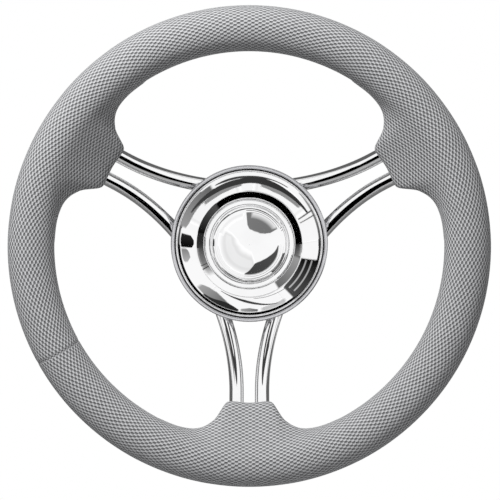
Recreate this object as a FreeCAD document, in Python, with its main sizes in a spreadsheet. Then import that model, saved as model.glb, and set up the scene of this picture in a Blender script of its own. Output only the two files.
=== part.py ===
import FreeCAD, Part
import os
import Sketcher
from FreeCAD import Placement, Rotation, Vector

# Boat steering wheel, 350 mm across: moulded grip over a steel ring, three bent rods that make
# three pairs of spokes, and a hub of pressed and turned parts on a tapered shaft boss.
# Every piece is drawn lying on the hub's rear face, with the axis along Z and the driver above,
# and is then turned upright: the face looks along -Y and the shaft axis is Y.

# Driving sizes in millimetres
SIZES = {
    "wheel_diameter": 350,
    "rim_height": 77,
    "grip_diameter": 34,
    "core_diameter": 12,
    "rod_diameter": 11,
    "rod_pair_gap": 18.9,
    "neck_length": 44.4,
    "neck_width": 41,
    "neck_depth": 24,
    "neck_spread": 92,
    "neck_sink": 4,
    "neck_edge": 5,
    "shaft_diameter": 19.05,
    "shaft_taper": 12,
    "keyway_width": 4.76,
    "keyway_depth": 2.4,
    "boss_diameter": 40,
    "boss_shoulder": 14,
    "boss_length": 26,
    "spigot_diameter": 30,
    "boss_chamfer": 1,
    "cup_floor": 3,
    "cup_wall": 2,
    "cup_height": 20.5,
    "cup_corner": 5,
    "slot_clearance": 0.3,
    "saddle_web": 1,
    "saddle_length": 26,
    "saddle_width": 15,
    "saddle_gap": 6.05,
    "hub_diameter": 116.5,
    "ring_width": 2.7,
    "ring_ledge": 0.4,
    "ring_lap": 1,
    "ring_bevel": 0.7,
    "ring_stand": 3.8,
    "fit_clearance": 0.05,
    "seal_width": 0.8,
    "seal_stand": 1.9,
    "dish_sheet": 1.5,
    "dish_edge": 2.4,
    "sheet_shift": 0.5,
    "bead_width": 1.25,
    "bead_crown": 0.6,
    "bead_step": 0.5,
    "band_rise": 7.9,
    "band_crown": 0.6,
    "recess_width": 5.9,
    "recess_slant": 3.3,
    "recess_step": 2.2,
    "hole_land": 0.75,
    "post_diameter": 8,
    "post_circle": 47,
    "screw_diameter": 4,
    "screw_length": 9,
    "screw_head": 7,
    "screw_head_height": 2.2,
    "screw_head_round": 0.7,
    "socket_diameter": 2.8,
    "socket_depth": 1.5,
    "screw_core": 3.3,
    "washer_diameter": 8,
    "washer_thickness": 0.8,
    "washer_clearance": 0.45,
    "cap_clearance": 0.3,
    "bezel_width": 3.35,
    "bezel_height": 3.6,
    "bezel_round": 1.3,
    "bezel_shelf": 1.8,
    "bezel_shelf_height": 2.3,
    "bezel_lift": 0.3,
    "cap_seal_diameter": 1.6,
    "dome_gap": 0.15,
    "dome_sheet": 1.4,
    "dome_edge": 1.2,
    "shoulder_width": 5.6,
    "shoulder_rise": 3.6,
    "dome_crown": 2.4,
    "carrier_sheet": 1.6,
    "carrier_clearance": 0.2,
    "carrier_gap": 0.1,
    "finger_thickness": 1.6,
    "finger_length": 3.2,
    "finger_lead": 1.6,
    "finger_hook": 0.5,
    "finger_slot": 3,
}

SPOKE_PAIRS = 3
THIRD_TURN = 360 / SPOKE_PAIRS
# Angle between a rod's middle part and the spokes at its two ends, before it is tilted
SPOKE_LEAN = 90 - THIRD_TURN / 2

# Sizes that follow from the driving ones
LAYOUT = {
    "wheel_radius": "Sizes.wheel_diameter / 2",
    "ring_radius": "Layout.wheel_radius - Sizes.grip_diameter / 2",
    "ring_inner": "Sizes.hub_diameter / 2 - Sizes.ring_width",
    "cup_radius": "Layout.ring_inner + Sizes.ring_ledge",
    "cup_inner": "Layout.cup_radius - Sizes.cup_wall",
    "cup_top": "Sizes.boss_shoulder + Sizes.cup_height",
    "floor_front": "Sizes.boss_shoulder + Sizes.cup_floor",
    "rod_height": "Layout.floor_front + Sizes.saddle_web + Sizes.rod_diameter / 2",
    "rod_inset": "Layout.cup_inner - Sizes.saddle_gap - Sizes.saddle_width / 2",
    "rod_rise": "Sizes.rim_height - Layout.rod_height",
    "lean_across": f"sin({SPOKE_LEAN})",
    "lean_out": f"cos({SPOKE_LEAN})",
    "pair_half": "Sizes.rod_pair_gap / 2",
    "rod_along": "sqrt(Layout.ring_radius ^ 2 - Layout.pair_half ^ 2)",
    "rod_end_x": "Layout.rod_along * Layout.lean_out - Layout.pair_half * Layout.lean_across",
    "rod_run": "Layout.rod_along * Layout.lean_across + Layout.pair_half * Layout.lean_out"
               " - Layout.rod_inset",
    "rod_tilt": "atan(Layout.rod_rise / Layout.rod_run) / 1 deg",
    "rod_bend": f"atan(tan({SPOKE_LEAN}) / cos(Layout.rod_tilt)) / 1 deg",
    "bend_drop": "Layout.lean_out * cos(Layout.rod_tilt) * (1 - cos(Layout.rod_bend))",
    "bend_radius": "(Layout.lean_out * Layout.rod_inset - Layout.pair_half)"
                   " / (Layout.lean_across * sin(Layout.rod_bend) - Layout.bend_drop)",
    "arc_end_x": "Layout.bend_radius * sin(Layout.rod_bend)",
    "arc_end_y": "Layout.bend_radius * (1 - cos(Layout.rod_bend))",
    "rod_end_y": "Layout.rod_run / cos(Layout.rod_tilt)",
    "rod_climb": "asin(sin(Layout.rod_bend) * sin(Layout.rod_tilt)) / 1 deg",
    "neck_swell": "Sizes.grip_diameter - Sizes.neck_sink - Sizes.neck_depth",
    "slot_curve": "cos(Layout.rod_tilt) / (2 * Layout.bend_radius)",
    "slot_term": "1 + 2 * Layout.rod_inset * Layout.slot_curve",
    "slot_square": "(sqrt(Layout.slot_term ^ 2 + 4 * Layout.slot_curve ^ 2"
                   " * (Layout.cup_inner ^ 2 - Layout.rod_inset ^ 2)) - Layout.slot_term)"
                   " / (2 * Layout.slot_curve ^ 2)",
    "slot_x": "sqrt(Layout.slot_square)",
    "slot_y": "Layout.rod_inset + Layout.slot_curve * Layout.slot_square",
    "slot_turn": "atan(2 * Layout.slot_curve * Layout.slot_x) / 1 deg",
    "slot_rise": "Layout.slot_curve * Layout.slot_square * tan(Layout.rod_tilt)",
    "slot_half": "Sizes.rod_diameter / 2 + Sizes.slot_clearance",
    "slot_reach": "Sizes.rod_diameter + Sizes.cup_wall",
    "dish_radius": "Layout.ring_inner - Sizes.seal_width",
    "band_outer": "Layout.dish_radius - Sizes.bead_width",
    "post_radius": "Sizes.post_circle / 2",
    "hole_radius": "Layout.post_radius - Sizes.washer_diameter / 2 - Sizes.hole_land",
    "shelf_inner": "Layout.post_radius + Sizes.washer_diameter / 2 + Sizes.washer_clearance",
    "bezel_inner": "Layout.shelf_inner + Sizes.bezel_shelf",
    "cap_radius": "Layout.bezel_inner + Sizes.bezel_width",
    "recess_radius": "Layout.cap_radius + Sizes.cap_clearance",
    "band_inner": "Layout.recess_radius + Sizes.recess_width",
    "bead_height": "Layout.cup_top + Sizes.dish_edge",
    "band_foot": "Layout.bead_height + Sizes.bead_step",
    "band_top": "Layout.cup_top + Sizes.band_rise",
    "recess_foot": "Layout.band_top - Sizes.recess_slant",
    "dish_floor": "Layout.recess_foot - Sizes.recess_step",
    "dish_under": "Layout.dish_floor - Sizes.dish_sheet",
    "bezel_foot": "Layout.dish_floor + Sizes.bezel_lift",
    "bezel_top": "Layout.dish_floor + Sizes.bezel_height",
    "shelf_top": "Layout.bezel_foot + Sizes.bezel_shelf_height",
    "seal_circle": "(Layout.cap_radius + Layout.shelf_inner) / 2",
    "dome_radius": "Layout.bezel_inner - Sizes.dome_gap",
    "shoulder_radius": "Layout.dome_radius - Sizes.shoulder_width",
    "dome_foot": "Layout.shelf_top + Sizes.dome_edge",
    "shoulder_top": "Layout.dome_foot + Sizes.shoulder_rise",
    "dome_top": "Layout.shoulder_top + Sizes.dome_crown",
    "crown_radius": "(Layout.shoulder_radius ^ 2 + Sizes.dome_crown ^ 2) / (2 * Sizes.dome_crown)",
    "crown_centre": "Layout.dome_top - Layout.crown_radius",
}

UPRIGHT = Placement(Vector(0, 0, 0), Rotation(Vector(1, 0, 0), 90))
# Share of the neck's length from its end face, and share of its spread there
NECK_STATIONS = ((0, 0), (0.19, 0.12), (0.34, 0.41), (0.46, 0.92), (0.73, 1))
# Where each rod's middle lies, as an angle from the top of the wheel, seen by the driver
ROD_TURNS = {"top": 0, "left": THIRD_TURN, "right": -THIRD_TURN}

doc = FreeCAD.newDocument("BoatSteeringWheel")

sizes = doc.addObject("Spreadsheet::Sheet", "Sizes")
for row, (alias, number) in enumerate(SIZES.items(), start=1):
    sizes.set(f"A{row}", str(number))
    sizes.setAlias(f"A{row}", alias)
doc.recompute()

layout = doc.addObject("App::VarSet", "Layout")
for name, formula in LAYOUT.items():
    layout.addProperty("App::PropertyFloat", name, "Layout")
    layout.setExpression(name, formula)
    doc.recompute()


def value(formula):
    """Return the number that a formula of the sheet's sizes gives now."""
    result = sizes.evalExpression(str(formula))
    return float(getattr(result, "Value", result))


def new_body(label):
    body = doc.addObject("PartDesign::Body", label)
    body.Label = label
    return body


def origin_plane(body, role):
    return [item for item in body.Origin.OriginFeatures if item.Role == role][0]


def new_sketch(body, plane, name, offset=None):
    """Add a sketch on one of the body's own origin planes, moved by an offset formula if given."""
    sketch = body.newObject("Sketcher::SketchObject", name)
    sketch.AttachmentSupport = [(origin_plane(body, plane), "")]
    sketch.MapMode = "FlatFace"
    if offset:
        sketch.setExpression("AttachmentOffset", offset)
    return sketch


def bind(sketch, kind, geometry, point, formula):
    """Hold a point's distance from the sketch's origin to a formula."""
    number = sketch.addConstraint(Sketcher.Constraint(kind, -1, 1, geometry, point, value(formula)))
    sketch.setExpression(f"Constraints[{number}]", str(formula))


def draw_outline(sketch, corners):
    """Draw a closed outline. A corner is (across, up), or (across, up, via_across, via_up) where
    the side that leads to it is an arc through the via point."""
    spots = [Vector(value(corner[0]), value(corner[1]), 0) for corner in corners]
    ends = []
    for index, corner in enumerate(corners):
        start = spots[index - 1]
        finish = spots[index]
        if len(corner) == 2:
            side = sketch.addGeometry(Part.LineSegment(start, finish))
            ends.append((side, 1, 2))
            continue
        via = Vector(value(corner[2]), value(corner[3]), 0)
        side = sketch.addGeometry(Part.Arc(start, via, finish))
        first_gap = sketch.getPoint(side, 1).distanceToPoint(start)
        forward = first_gap < sketch.getPoint(side, 2).distanceToPoint(start)
        ends.append((side, 1, 2) if forward else (side, 2, 1))
        mark = sketch.addGeometry(Part.Point(via), True)
        sketch.addConstraint(Sketcher.Constraint("PointOnObject", mark, 1, side))
        bind(sketch, "DistanceX", mark, 1, corner[2])
        bind(sketch, "DistanceY", mark, 1, corner[3])
    for index, corner in enumerate(corners):
        side, _, last = ends[index]
        following, first, _ = ends[(index + 1) % len(corners)]
        sketch.addConstraint(Sketcher.Constraint("Coincident", side, last, following, first))
        bind(sketch, "DistanceX", side, last, corner[0])
        bind(sketch, "DistanceY", side, last, corner[1])


def draw_circle(sketch, across, up, radius):
    centre = Vector(value(across), value(up), 0)
    circle = sketch.addGeometry(Part.Circle(centre, Vector(0, 0, 1), value(radius)))
    bind(sketch, "DistanceX", circle, 3, across)
    bind(sketch, "DistanceY", circle, 3, up)
    number = sketch.addConstraint(Sketcher.Constraint("Radius", circle, value(radius)))
    sketch.setExpression(f"Constraints[{number}]", str(radius))


def draw_oval(sketch, half_across, half_up):
    """Draw an ellipse about the sketch's origin, wider than it is high."""
    across = Vector(value(half_across), 0, 0)
    up = Vector(0, value(half_up), 0)
    oval = sketch.addGeometry(Part.Ellipse(across, up, Vector(0, 0, 0)))
    sketch.exposeInternalGeometry(oval)
    sketch.addConstraint(Sketcher.Constraint("Coincident", oval, 3, -1, 1))
    sketch.addConstraint(Sketcher.Constraint("PointOnObject", oval + 1, 1, -1))
    bind(sketch, "DistanceX", oval + 1, 1, half_across)
    bind(sketch, "DistanceY", oval + 2, 1, half_up)


def turned(label, corners):
    """A body turned about the wheel's axis from an outline of (radius, height) corners."""
    body = new_body(label)
    sketch = new_sketch(body, "XZ_Plane", label + "_outline")
    draw_outline(sketch, corners)
    turn = body.newObject("PartDesign::Revolution", label + "_turn")
    turn.Profile = sketch
    turn.ReferenceAxis = (sketch, ["V_Axis"])
    turn.Angle = 360
    doc.recompute()
    return body


def pocket(body, sketch, depth=None):
    """Cut a sketch downward into the body, right through if no depth is given."""
    before = body.Shape.Volume
    cut = body.newObject("PartDesign::Pocket", sketch.Name + "_cut")
    cut.Profile = sketch
    if depth is None:
        cut.Type = "ThroughAll"
        cut.Midplane = True
    else:
        cut.Type = "Length"
        cut.setExpression("Length", depth)
    doc.recompute()
    assert body.Shape.Volume < before, f"{cut.Name} cuts nothing"
    return cut


def polar(body, features):
    """Repeat features about the wheel's axis, once for each pair of spokes."""
    pattern = body.newObject("PartDesign::PolarPattern", features[-1].Name + "_round")
    pattern.Originals = features
    pattern.Axis = (origin_plane(body, "Z_Axis"), [""])
    pattern.Angle = 360
    pattern.Occurrences = SPOKE_PAIRS
    body.Tip = pattern
    doc.recompute()
    return pattern


def cut(label, base, tool):
    result = doc.addObject("Part::Cut", label)
    result.Label = label
    result.Base = base
    result.Tool = tool
    doc.recompute()
    return result


# Steel ring inside the rim
def make_core_ring():
    ring = doc.addObject("Part::Torus", "rim_core_ring")
    ring.Label = "rim_core_ring"
    ring.setExpression("Radius1", "Layout.ring_radius")
    ring.setExpression("Radius2", "Sizes.core_diameter / 2")
    ring.setExpression("Placement.Base.z", "Sizes.rim_height")
    doc.recompute()
    return ring


# Bent rod, drawn in its own plane from its middle outward, then mirrored and tilted to the rim
def make_rod_form(side, turn):
    body = new_body(f"rod_form_{side}")
    section = new_sketch(body, "YZ_Plane", f"rod_section_{side}")
    draw_circle(section, "0", "0", "Sizes.rod_diameter / 2")
    path = new_sketch(body, "XY_Plane", f"rod_path_{side}")
    finish = Vector(value("Layout.arc_end_x"), value("Layout.arc_end_y"), 0)
    half = value("Layout.rod_bend / 2")
    radius = value("Layout.bend_radius")
    via = Vector(0, radius, 0) + Rotation(Vector(0, 0, 1), half).multVec(Vector(0, -radius, 0))
    bend = path.addGeometry(Part.Arc(Vector(0, 0, 0), via, finish))
    tip = Vector(value("Layout.rod_end_x"), value("Layout.rod_end_y"), 0)
    straight = path.addGeometry(Part.LineSegment(finish, tip))
    path.addConstraint(Sketcher.Constraint("Coincident", bend, 1, -1, 1))
    path.addConstraint(Sketcher.Constraint("Coincident", bend, 2, straight, 1))
    bind(path, "DistanceX", bend, 2, "Layout.arc_end_x")
    bind(path, "DistanceY", bend, 2, "Layout.arc_end_y")
    bind(path, "DistanceX", straight, 2, "Layout.rod_end_x")
    bind(path, "DistanceY", straight, 2, "Layout.rod_end_y")
    number = path.addConstraint(Sketcher.Constraint("Radius", bend, radius))
    path.setExpression(f"Constraints[{number}]", "Layout.bend_radius")
    doc.recompute()
    sweep = body.newObject("PartDesign::AdditivePipe", f"rod_sweep_{side}")
    sweep.Profile = section
    sweep.Spine = (path, ["Edge1", "Edge2"])
    doc.recompute()
    other = body.newObject("PartDesign::Mirrored", f"rod_mirror_{side}")
    other.Originals = [sweep]
    other.MirrorPlane = (origin_plane(body, "YZ_Plane"), [""])
    body.Tip = other
    body.setExpression(
        "Placement",
        f"placement(vector(0; 0; 0); rotation(vector(0; 0; 1); {turn}))"
        " * placement(vector(0; Layout.rod_inset; Layout.rod_height);"
        " rotation(vector(1; 0; 0); Layout.rod_tilt))",
    )
    doc.recompute()
    return body


# Bell-shaped neck around a pair of rods: oval sections from its end face along the rods into the
# rim, where it is nearly as deep as the rim is thick and so runs gently into it
def make_neck(body):
    sections = []
    for number, (share, spread) in enumerate(NECK_STATIONS):
        inward = f"Sizes.neck_length * (1 - {share})"
        width = f"(Sizes.neck_width + (Sizes.neck_spread - Sizes.neck_width) * {spread})"
        depth = f"(Sizes.neck_depth + Layout.neck_swell * {share})"
        offset = (
            f"placement(vector(0; Sizes.rim_height - {inward} * sin(Layout.rod_climb);"
            f" Layout.ring_radius - {inward} * cos(Layout.rod_climb));"
            " rotation(vector(1; 0; 0); -Layout.rod_climb))"
        )
        sketch = new_sketch(body, "XZ_Plane", f"neck_section_{number}", offset)
        draw_oval(sketch, f"{width} / 2", f"{depth} / 2")
        sections.append(sketch)
    doc.recompute()
    neck = body.newObject("PartDesign::AdditiveLoft", "neck")
    neck.Profile = sections[0]
    neck.Sections = sections[1:]
    doc.recompute()
    return neck


def neck_end_edges(shape):
    """Names of the edges round the flat end face of each neck."""
    reach = value("Layout.ring_radius - Sizes.neck_length * cos(Layout.rod_climb)")
    names = set()
    for face in shape.Faces:
        centre = face.CenterOfMass
        off_reach = abs(Vector(centre.x, centre.y, 0).Length - reach)
        if not isinstance(face.Surface, Part.Plane) or off_reach > value("Sizes.neck_edge"):
            continue
        for number, edge in enumerate(shape.Edges, start=1):
            if any(edge.isSame(side) for side in face.Edges):
                names.add(f"Edge{number}")
    return sorted(names)


def make_grip_form():
    body = new_body("grip_form")
    section = new_sketch(body, "XZ_Plane", "rim_section")
    draw_circle(section, "Layout.ring_radius", "Sizes.rim_height", "Sizes.grip_diameter / 2")
    rim = body.newObject("PartDesign::Revolution", "rim")
    rim.Profile = section
    rim.ReferenceAxis = (section, ["V_Axis"])
    rim.Angle = 360
    doc.recompute()
    rim_volume = body.Shape.Volume
    necks = polar(body, [make_neck(body)])
    assert body.Shape.Volume > rim_volume, "the necks add nothing"
    rounding = body.newObject("PartDesign::Fillet", "neck_rounding")
    rounding.Base = (necks, neck_end_edges(body.Shape))
    rounding.setExpression("Radius", "Sizes.neck_edge")
    doc.recompute()
    return body


# Turned boss with the tapered bore and its keyway
def make_hub_boss():
    bore = "Sizes.shaft_diameter / 2"
    bore_front = "Sizes.shaft_diameter / 2 - Sizes.boss_length / (2 * Sizes.shaft_taper)"
    outer = "Sizes.boss_diameter / 2"
    spigot = "Sizes.spigot_diameter / 2"
    body = turned("hub_boss", [
        (bore, "0"),
        (f"{outer} - Sizes.boss_chamfer", "0"),
        (outer, "Sizes.boss_chamfer"),
        (outer, "Sizes.boss_shoulder"),
        (spigot, "Sizes.boss_shoulder"),
        (spigot, "Sizes.boss_length - Sizes.boss_chamfer"),
        (f"{spigot} - Sizes.boss_chamfer", "Sizes.boss_length"),
        (bore_front, "Sizes.boss_length"),
    ])
    key = new_sketch(body, "XY_Plane", "keyway")
    top = f"{bore} + Sizes.keyway_depth"
    draw_outline(key, [
        ("-Sizes.keyway_width / 2", "0"),
        ("Sizes.keyway_width / 2", "0"),
        ("Sizes.keyway_width / 2", top),
        ("-Sizes.keyway_width / 2", top),
    ])
    doc.recompute()
    pocket(body, key)
    return body


# Pressed cup with an open slot in its wall for each end of each rod
def make_hub_cup():
    corner = "Sizes.cup_corner"
    inner_corner = "(Sizes.cup_corner - Sizes.cup_wall)"
    bottom = "Sizes.boss_shoulder"
    body = turned("hub_cup", [
        ("Sizes.spigot_diameter / 2", bottom),
        (f"Layout.cup_radius - {corner}", bottom),
        ("Layout.cup_radius", f"{bottom} + {corner}",
         f"Layout.cup_radius - {corner} * (1 - sin(45))", f"{bottom} + {corner} * (1 - sin(45))"),
        ("Layout.cup_radius", "Layout.cup_top"),
        ("Layout.cup_inner", "Layout.cup_top"),
        ("Layout.cup_inner", f"Layout.floor_front + {inner_corner}"),
        (f"Layout.cup_inner - {inner_corner}", "Layout.floor_front",
         f"Layout.cup_inner - {inner_corner} * (1 - sin(45))",
         f"Layout.floor_front + {inner_corner} * (1 - sin(45))"),
        ("Sizes.spigot_diameter / 2", "Layout.floor_front"),
    ])
    slots = new_sketch(body, "XY_Plane", "rod_slots",
                       "placement(vector(0; 0; Layout.cup_top); rotation(vector(0; 0; 1); 0))")
    along_x = "Layout.slot_reach * cos(Layout.slot_turn)"
    along_y = "Layout.slot_reach * sin(Layout.slot_turn)"
    side_x = "Layout.slot_half * sin(Layout.slot_turn)"
    side_y = "Layout.slot_half * cos(Layout.slot_turn)"
    near_low = (f"Layout.slot_x - {along_x} + {side_x}", f"Layout.slot_y - {along_y} - {side_y}")
    far_low = (f"Layout.slot_x + {along_x} + {side_x}", f"Layout.slot_y + {along_y} - {side_y}")
    far_high = (f"Layout.slot_x + {along_x} - {side_x}", f"Layout.slot_y + {along_y} + {side_y}")
    near_high = (f"Layout.slot_x - {along_x} - {side_x}", f"Layout.slot_y - {along_y} + {side_y}")
    draw_outline(slots, [near_low, far_low, far_high, near_high])
    draw_outline(slots, [(f"-({x})", y) for x, y in (near_low, near_high, far_high, far_low)])
    doc.recompute()
    depth = "Layout.cup_top - Layout.rod_height - Layout.slot_rise + Layout.slot_half"
    polar(body, [pocket(body, slots, depth)])
    return body


# Cradle that each rod's middle is welded in
def make_saddles(rods):
    blocks = []
    for side, turn in ROD_TURNS.items():
        block = doc.addObject("Part::Box", f"saddle_block_{side}")
        block.setExpression("Length", "Sizes.saddle_length")
        block.setExpression("Width", "Sizes.saddle_width")
        block.setExpression("Height", "Layout.rod_height - Layout.floor_front")
        block.setExpression(
            "Placement",
            f"placement(vector(0; 0; 0); rotation(vector(0; 0; 1); {turn}))"
            " * placement(vector(-Sizes.saddle_length / 2; Layout.rod_inset - Sizes.saddle_width / 2;"
            " Layout.floor_front); rotation(vector(0; 0; 1); 0))",
        )
        blocks.append(block)
    group = doc.addObject("Part::Compound", "saddle_blocks")
    group.Links = blocks
    doc.recompute()
    return cut("rod_saddles", group, rods)


# Trim ring that grips the cup's wall
def make_hub_ring():
    outer = "Sizes.hub_diameter / 2"
    inside = "Layout.cup_radius + Sizes.fit_clearance"
    bottom = "Layout.cup_top - Sizes.ring_lap"
    top = "Layout.cup_top + Sizes.ring_stand"
    middle = f"{outer} - Sizes.ring_width / 2"
    round_off = "Sizes.ring_width / 2"
    return turned("hub_ring", [
        (inside, bottom),
        (f"{outer} - Sizes.ring_bevel", bottom),
        (outer, f"{bottom} + Sizes.ring_bevel"),
        (outer, f"{top} - {round_off}"),
        ("Layout.ring_inner", f"{top} - {round_off}", middle, top),
        ("Layout.ring_inner", "Layout.cup_top"),
        (inside, "Layout.cup_top"),
    ])


# Thin seal between the trim ring and the dish
def make_dish_seal():
    return turned("dish_seal", [
        ("Layout.dish_radius", "Layout.cup_top"),
        ("Layout.ring_inner", "Layout.cup_top"),
        ("Layout.ring_inner", "Layout.cup_top + Sizes.seal_stand"),
        ("Layout.dish_radius", "Layout.cup_top + Sizes.seal_stand"),
    ])


# Pressed dish: edge bead, crowned band, slanted recess wall and stepped floor, one sheet throughout
def make_hub_dish():
    sheet = "Sizes.dish_sheet"
    crest = "(Layout.band_outer + Layout.band_inner) / 2"
    crest_top = "(Layout.band_foot + Layout.band_top) / 2 + Sizes.band_crown"
    bead = "(Layout.dish_radius + Layout.band_outer) / 2"
    body = turned("hub_dish", [
        ("Layout.hole_radius", "Layout.dish_under"),
        (f"Layout.recess_radius + {sheet}", "Layout.dish_under"),
        (f"Layout.recess_radius + {sheet}", f"Layout.recess_foot - {sheet} * sin(45)"),
        ("Layout.band_inner + Sizes.sheet_shift", f"Layout.band_top - {sheet}"),
        ("Layout.band_outer - Sizes.sheet_shift", f"Layout.band_foot - {sheet}",
         crest, f"{crest_top} - {sheet}"),
        (f"Layout.dish_radius - {sheet}", "Layout.cup_top"),
        ("Layout.dish_radius", "Layout.cup_top"),
        ("Layout.dish_radius", "Layout.bead_height"),
        ("Layout.band_outer", "Layout.bead_height", bead,
         "Layout.bead_height + Sizes.bead_crown"),
        ("Layout.band_outer", "Layout.band_foot"),
        ("Layout.band_inner", "Layout.band_top", crest, crest_top),
        ("Layout.recess_radius", "Layout.recess_foot"),
        ("Layout.recess_radius", "Layout.dish_floor"),
        ("Layout.hole_radius", "Layout.dish_floor"),
    ])
    holes = new_sketch(body, "XY_Plane", "screw_holes")
    draw_circle(holes, "0", "-Layout.post_radius", "Sizes.screw_diameter / 2 + Sizes.fit_clearance")
    doc.recompute()
    polar(body, [pocket(body, holes)])
    return body


# Round pieces that stand in a ring of three about the axis, at the foot of each spoke pair
def three_turned(label, corners):
    """Turn one piece on the post circle from (radius, height) corners, and repeat it at each third."""
    body = new_body(label)
    sketch = new_sketch(body, "XZ_Plane", label + "_outline",
                        "placement(vector(0; 0; Layout.post_radius); rotation(vector(0; 1; 0); 0))")
    draw_outline(sketch, corners)
    turn = body.newObject("PartDesign::Revolution", label + "_turn")
    turn.Profile = sketch
    turn.ReferenceAxis = (sketch, ["V_Axis"])
    turn.Angle = 360
    doc.recompute()
    polar(body, [turn])
    return body


def make_posts():
    core = "Sizes.screw_core / 2"
    depth = "Layout.dish_under - Sizes.screw_length"
    return three_turned("dish_posts", [
        ("0", "Layout.floor_front"),
        ("Sizes.post_diameter / 2", "Layout.floor_front"),
        ("Sizes.post_diameter / 2", "Layout.dish_under"),
        (core, "Layout.dish_under"),
        (core, depth),
        ("0", depth),
    ])


def make_washers():
    bore = "Sizes.screw_diameter / 2 + Sizes.fit_clearance"
    top = "Layout.dish_floor + Sizes.washer_thickness"
    return three_turned("screw_washers", [
        (bore, "Layout.dish_floor"),
        ("Sizes.washer_diameter / 2", "Layout.dish_floor"),
        ("Sizes.washer_diameter / 2", top),
        (bore, top),
    ])


def make_screws():
    seat = "Layout.dish_floor + Sizes.washer_thickness"
    top = f"{seat} + Sizes.screw_head_height"
    head = "Sizes.screw_head / 2"
    shank = "Sizes.screw_core / 2"
    tip = "Layout.dish_under - Sizes.screw_length + Sizes.washer_thickness"
    round_off = "Sizes.screw_head_round"
    socket = "Sizes.socket_diameter / 2"
    socket_floor = f"{top} - Sizes.socket_depth"
    return three_turned("dish_screws", [
        ("0", tip),
        (shank, tip),
        (shank, seat),
        (head, seat),
        (head, f"{top} - {round_off}"),
        (f"{head} - {round_off}", top,
         f"{head} - {round_off} * (1 - sin(45))", f"{top} - {round_off} * (1 - sin(45))"),
        (socket, top),
        (socket, socket_floor),
        ("0", socket_floor),
    ])


# Ring around the cap, with a shelf for the dome and a groove for the cap's seal
def make_cap_bezel():
    groove_top = "Layout.dish_floor + Sizes.cap_seal_diameter + Sizes.fit_clearance"
    groove_half = "(Sizes.cap_seal_diameter / 2 + Sizes.fit_clearance)"
    round_off = "Sizes.bezel_round"
    return turned("cap_bezel", [
        ("Layout.shelf_inner", "Layout.bezel_foot"),
        (f"Layout.seal_circle - {groove_half}", "Layout.bezel_foot"),
        (f"Layout.seal_circle - {groove_half}", groove_top),
        (f"Layout.seal_circle + {groove_half}", groove_top),
        (f"Layout.seal_circle + {groove_half}", "Layout.bezel_foot"),
        ("Layout.cap_radius", "Layout.bezel_foot"),
        ("Layout.cap_radius", f"Layout.bezel_top - {round_off}"),
        (f"Layout.cap_radius - {round_off}", "Layout.bezel_top",
         f"Layout.cap_radius - {round_off} * (1 - sin(45))",
         f"Layout.bezel_top - {round_off} * (1 - sin(45))"),
        ("Layout.bezel_inner", "Layout.bezel_top"),
        ("Layout.bezel_inner", "Layout.shelf_top"),
        ("Layout.shelf_inner", "Layout.shelf_top"),
    ])


def make_cap_seal():
    ring = doc.addObject("Part::Torus", "cap_seal")
    ring.Label = "cap_seal"
    ring.setExpression("Radius1", "Layout.seal_circle")
    ring.setExpression("Radius2", "Sizes.cap_seal_diameter / 2")
    ring.setExpression("Placement.Base.z", "Layout.dish_floor + Sizes.cap_seal_diameter / 2")
    doc.recompute()
    return ring


# Crowned cap with a rounded shoulder, one thin sheet
def make_cap_dome():
    sheet = "Sizes.dome_sheet"
    shoulder_mid = "Layout.dome_radius - Sizes.shoulder_width * (1 - sin(45))"
    shoulder_mid_top = "Layout.dome_foot + Sizes.shoulder_rise * sin(45)"
    inner_edge = f"(Layout.shoulder_radius - {sheet} / 2)"
    outer_sphere = "Layout.crown_radius"
    inner_sphere = f"(Layout.crown_radius - {sheet})"

    def crown(sphere, across):
        return f"Layout.crown_centre + sqrt({sphere} ^ 2 - ({across}) ^ 2)"

    return turned("cap_dome", [
        ("0", f"Layout.dome_top - {sheet}"),
        (inner_edge, crown(inner_sphere, inner_edge),
         f"{inner_edge} / 2", crown(inner_sphere, f"{inner_edge} / 2")),
        (f"Layout.dome_radius - {sheet}", "Layout.shelf_top",
         f"{shoulder_mid} - {sheet} * sin(45)", f"{shoulder_mid_top} - {sheet} * sin(45)"),
        ("Layout.dome_radius", "Layout.shelf_top"),
        ("Layout.dome_radius", "Layout.dome_foot"),
        ("Layout.shoulder_radius", "Layout.shoulder_top", shoulder_mid, shoulder_mid_top),
        ("0", "Layout.dome_top",
         "Layout.shoulder_radius / 2", crown(outer_sphere, "Layout.shoulder_radius / 2")),
    ])


# Plastic carrier under the dome, with snap fingers in the dish's hole
def make_cap_body():
    sheet = "Sizes.carrier_sheet"
    finger_outer = "Layout.hole_radius - Sizes.carrier_clearance"
    finger_inner = f"{finger_outer} - Sizes.finger_thickness"
    plate_top = "Layout.shoulder_top - Sizes.dome_sheet - Sizes.carrier_gap"
    plate_radius = "Layout.shoulder_radius - Sizes.dome_sheet"
    hook = f"{finger_outer} + Sizes.finger_hook"
    hook_top = "Layout.dish_under - Sizes.carrier_clearance"
    tip = "Layout.dish_under - Sizes.finger_length"
    body = turned("cap_body", [
        (finger_inner, tip),
        (finger_outer, tip),
        (hook, f"{tip} + Sizes.finger_lead"),
        (hook, hook_top),
        (finger_outer, hook_top),
        (finger_outer, f"{plate_top} - {sheet}"),
        (plate_radius, f"{plate_top} - {sheet}"),
        (plate_radius, plate_top),
        (finger_inner, plate_top),
    ])
    slot_top = "Layout.dish_floor + Sizes.finger_slot"
    slots = new_sketch(body, "XY_Plane", "finger_slots",
                       f"placement(vector(0; 0; {slot_top}); rotation(vector(0; 0; 1); 0))")
    reach = f"{hook} + Sizes.finger_slot"
    half = "Sizes.finger_slot / 2"
    draw_outline(slots, [
        (f"-({reach})", f"-{half}"),
        (reach, f"-{half}"),
        (reach, half),
        (f"-({reach})", half),
    ])
    doc.recompute()
    depth = f"{slot_top} - ({tip}) + Sizes.finger_slot"
    polar(body, [pocket(body, slots, depth)])
    return body


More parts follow.
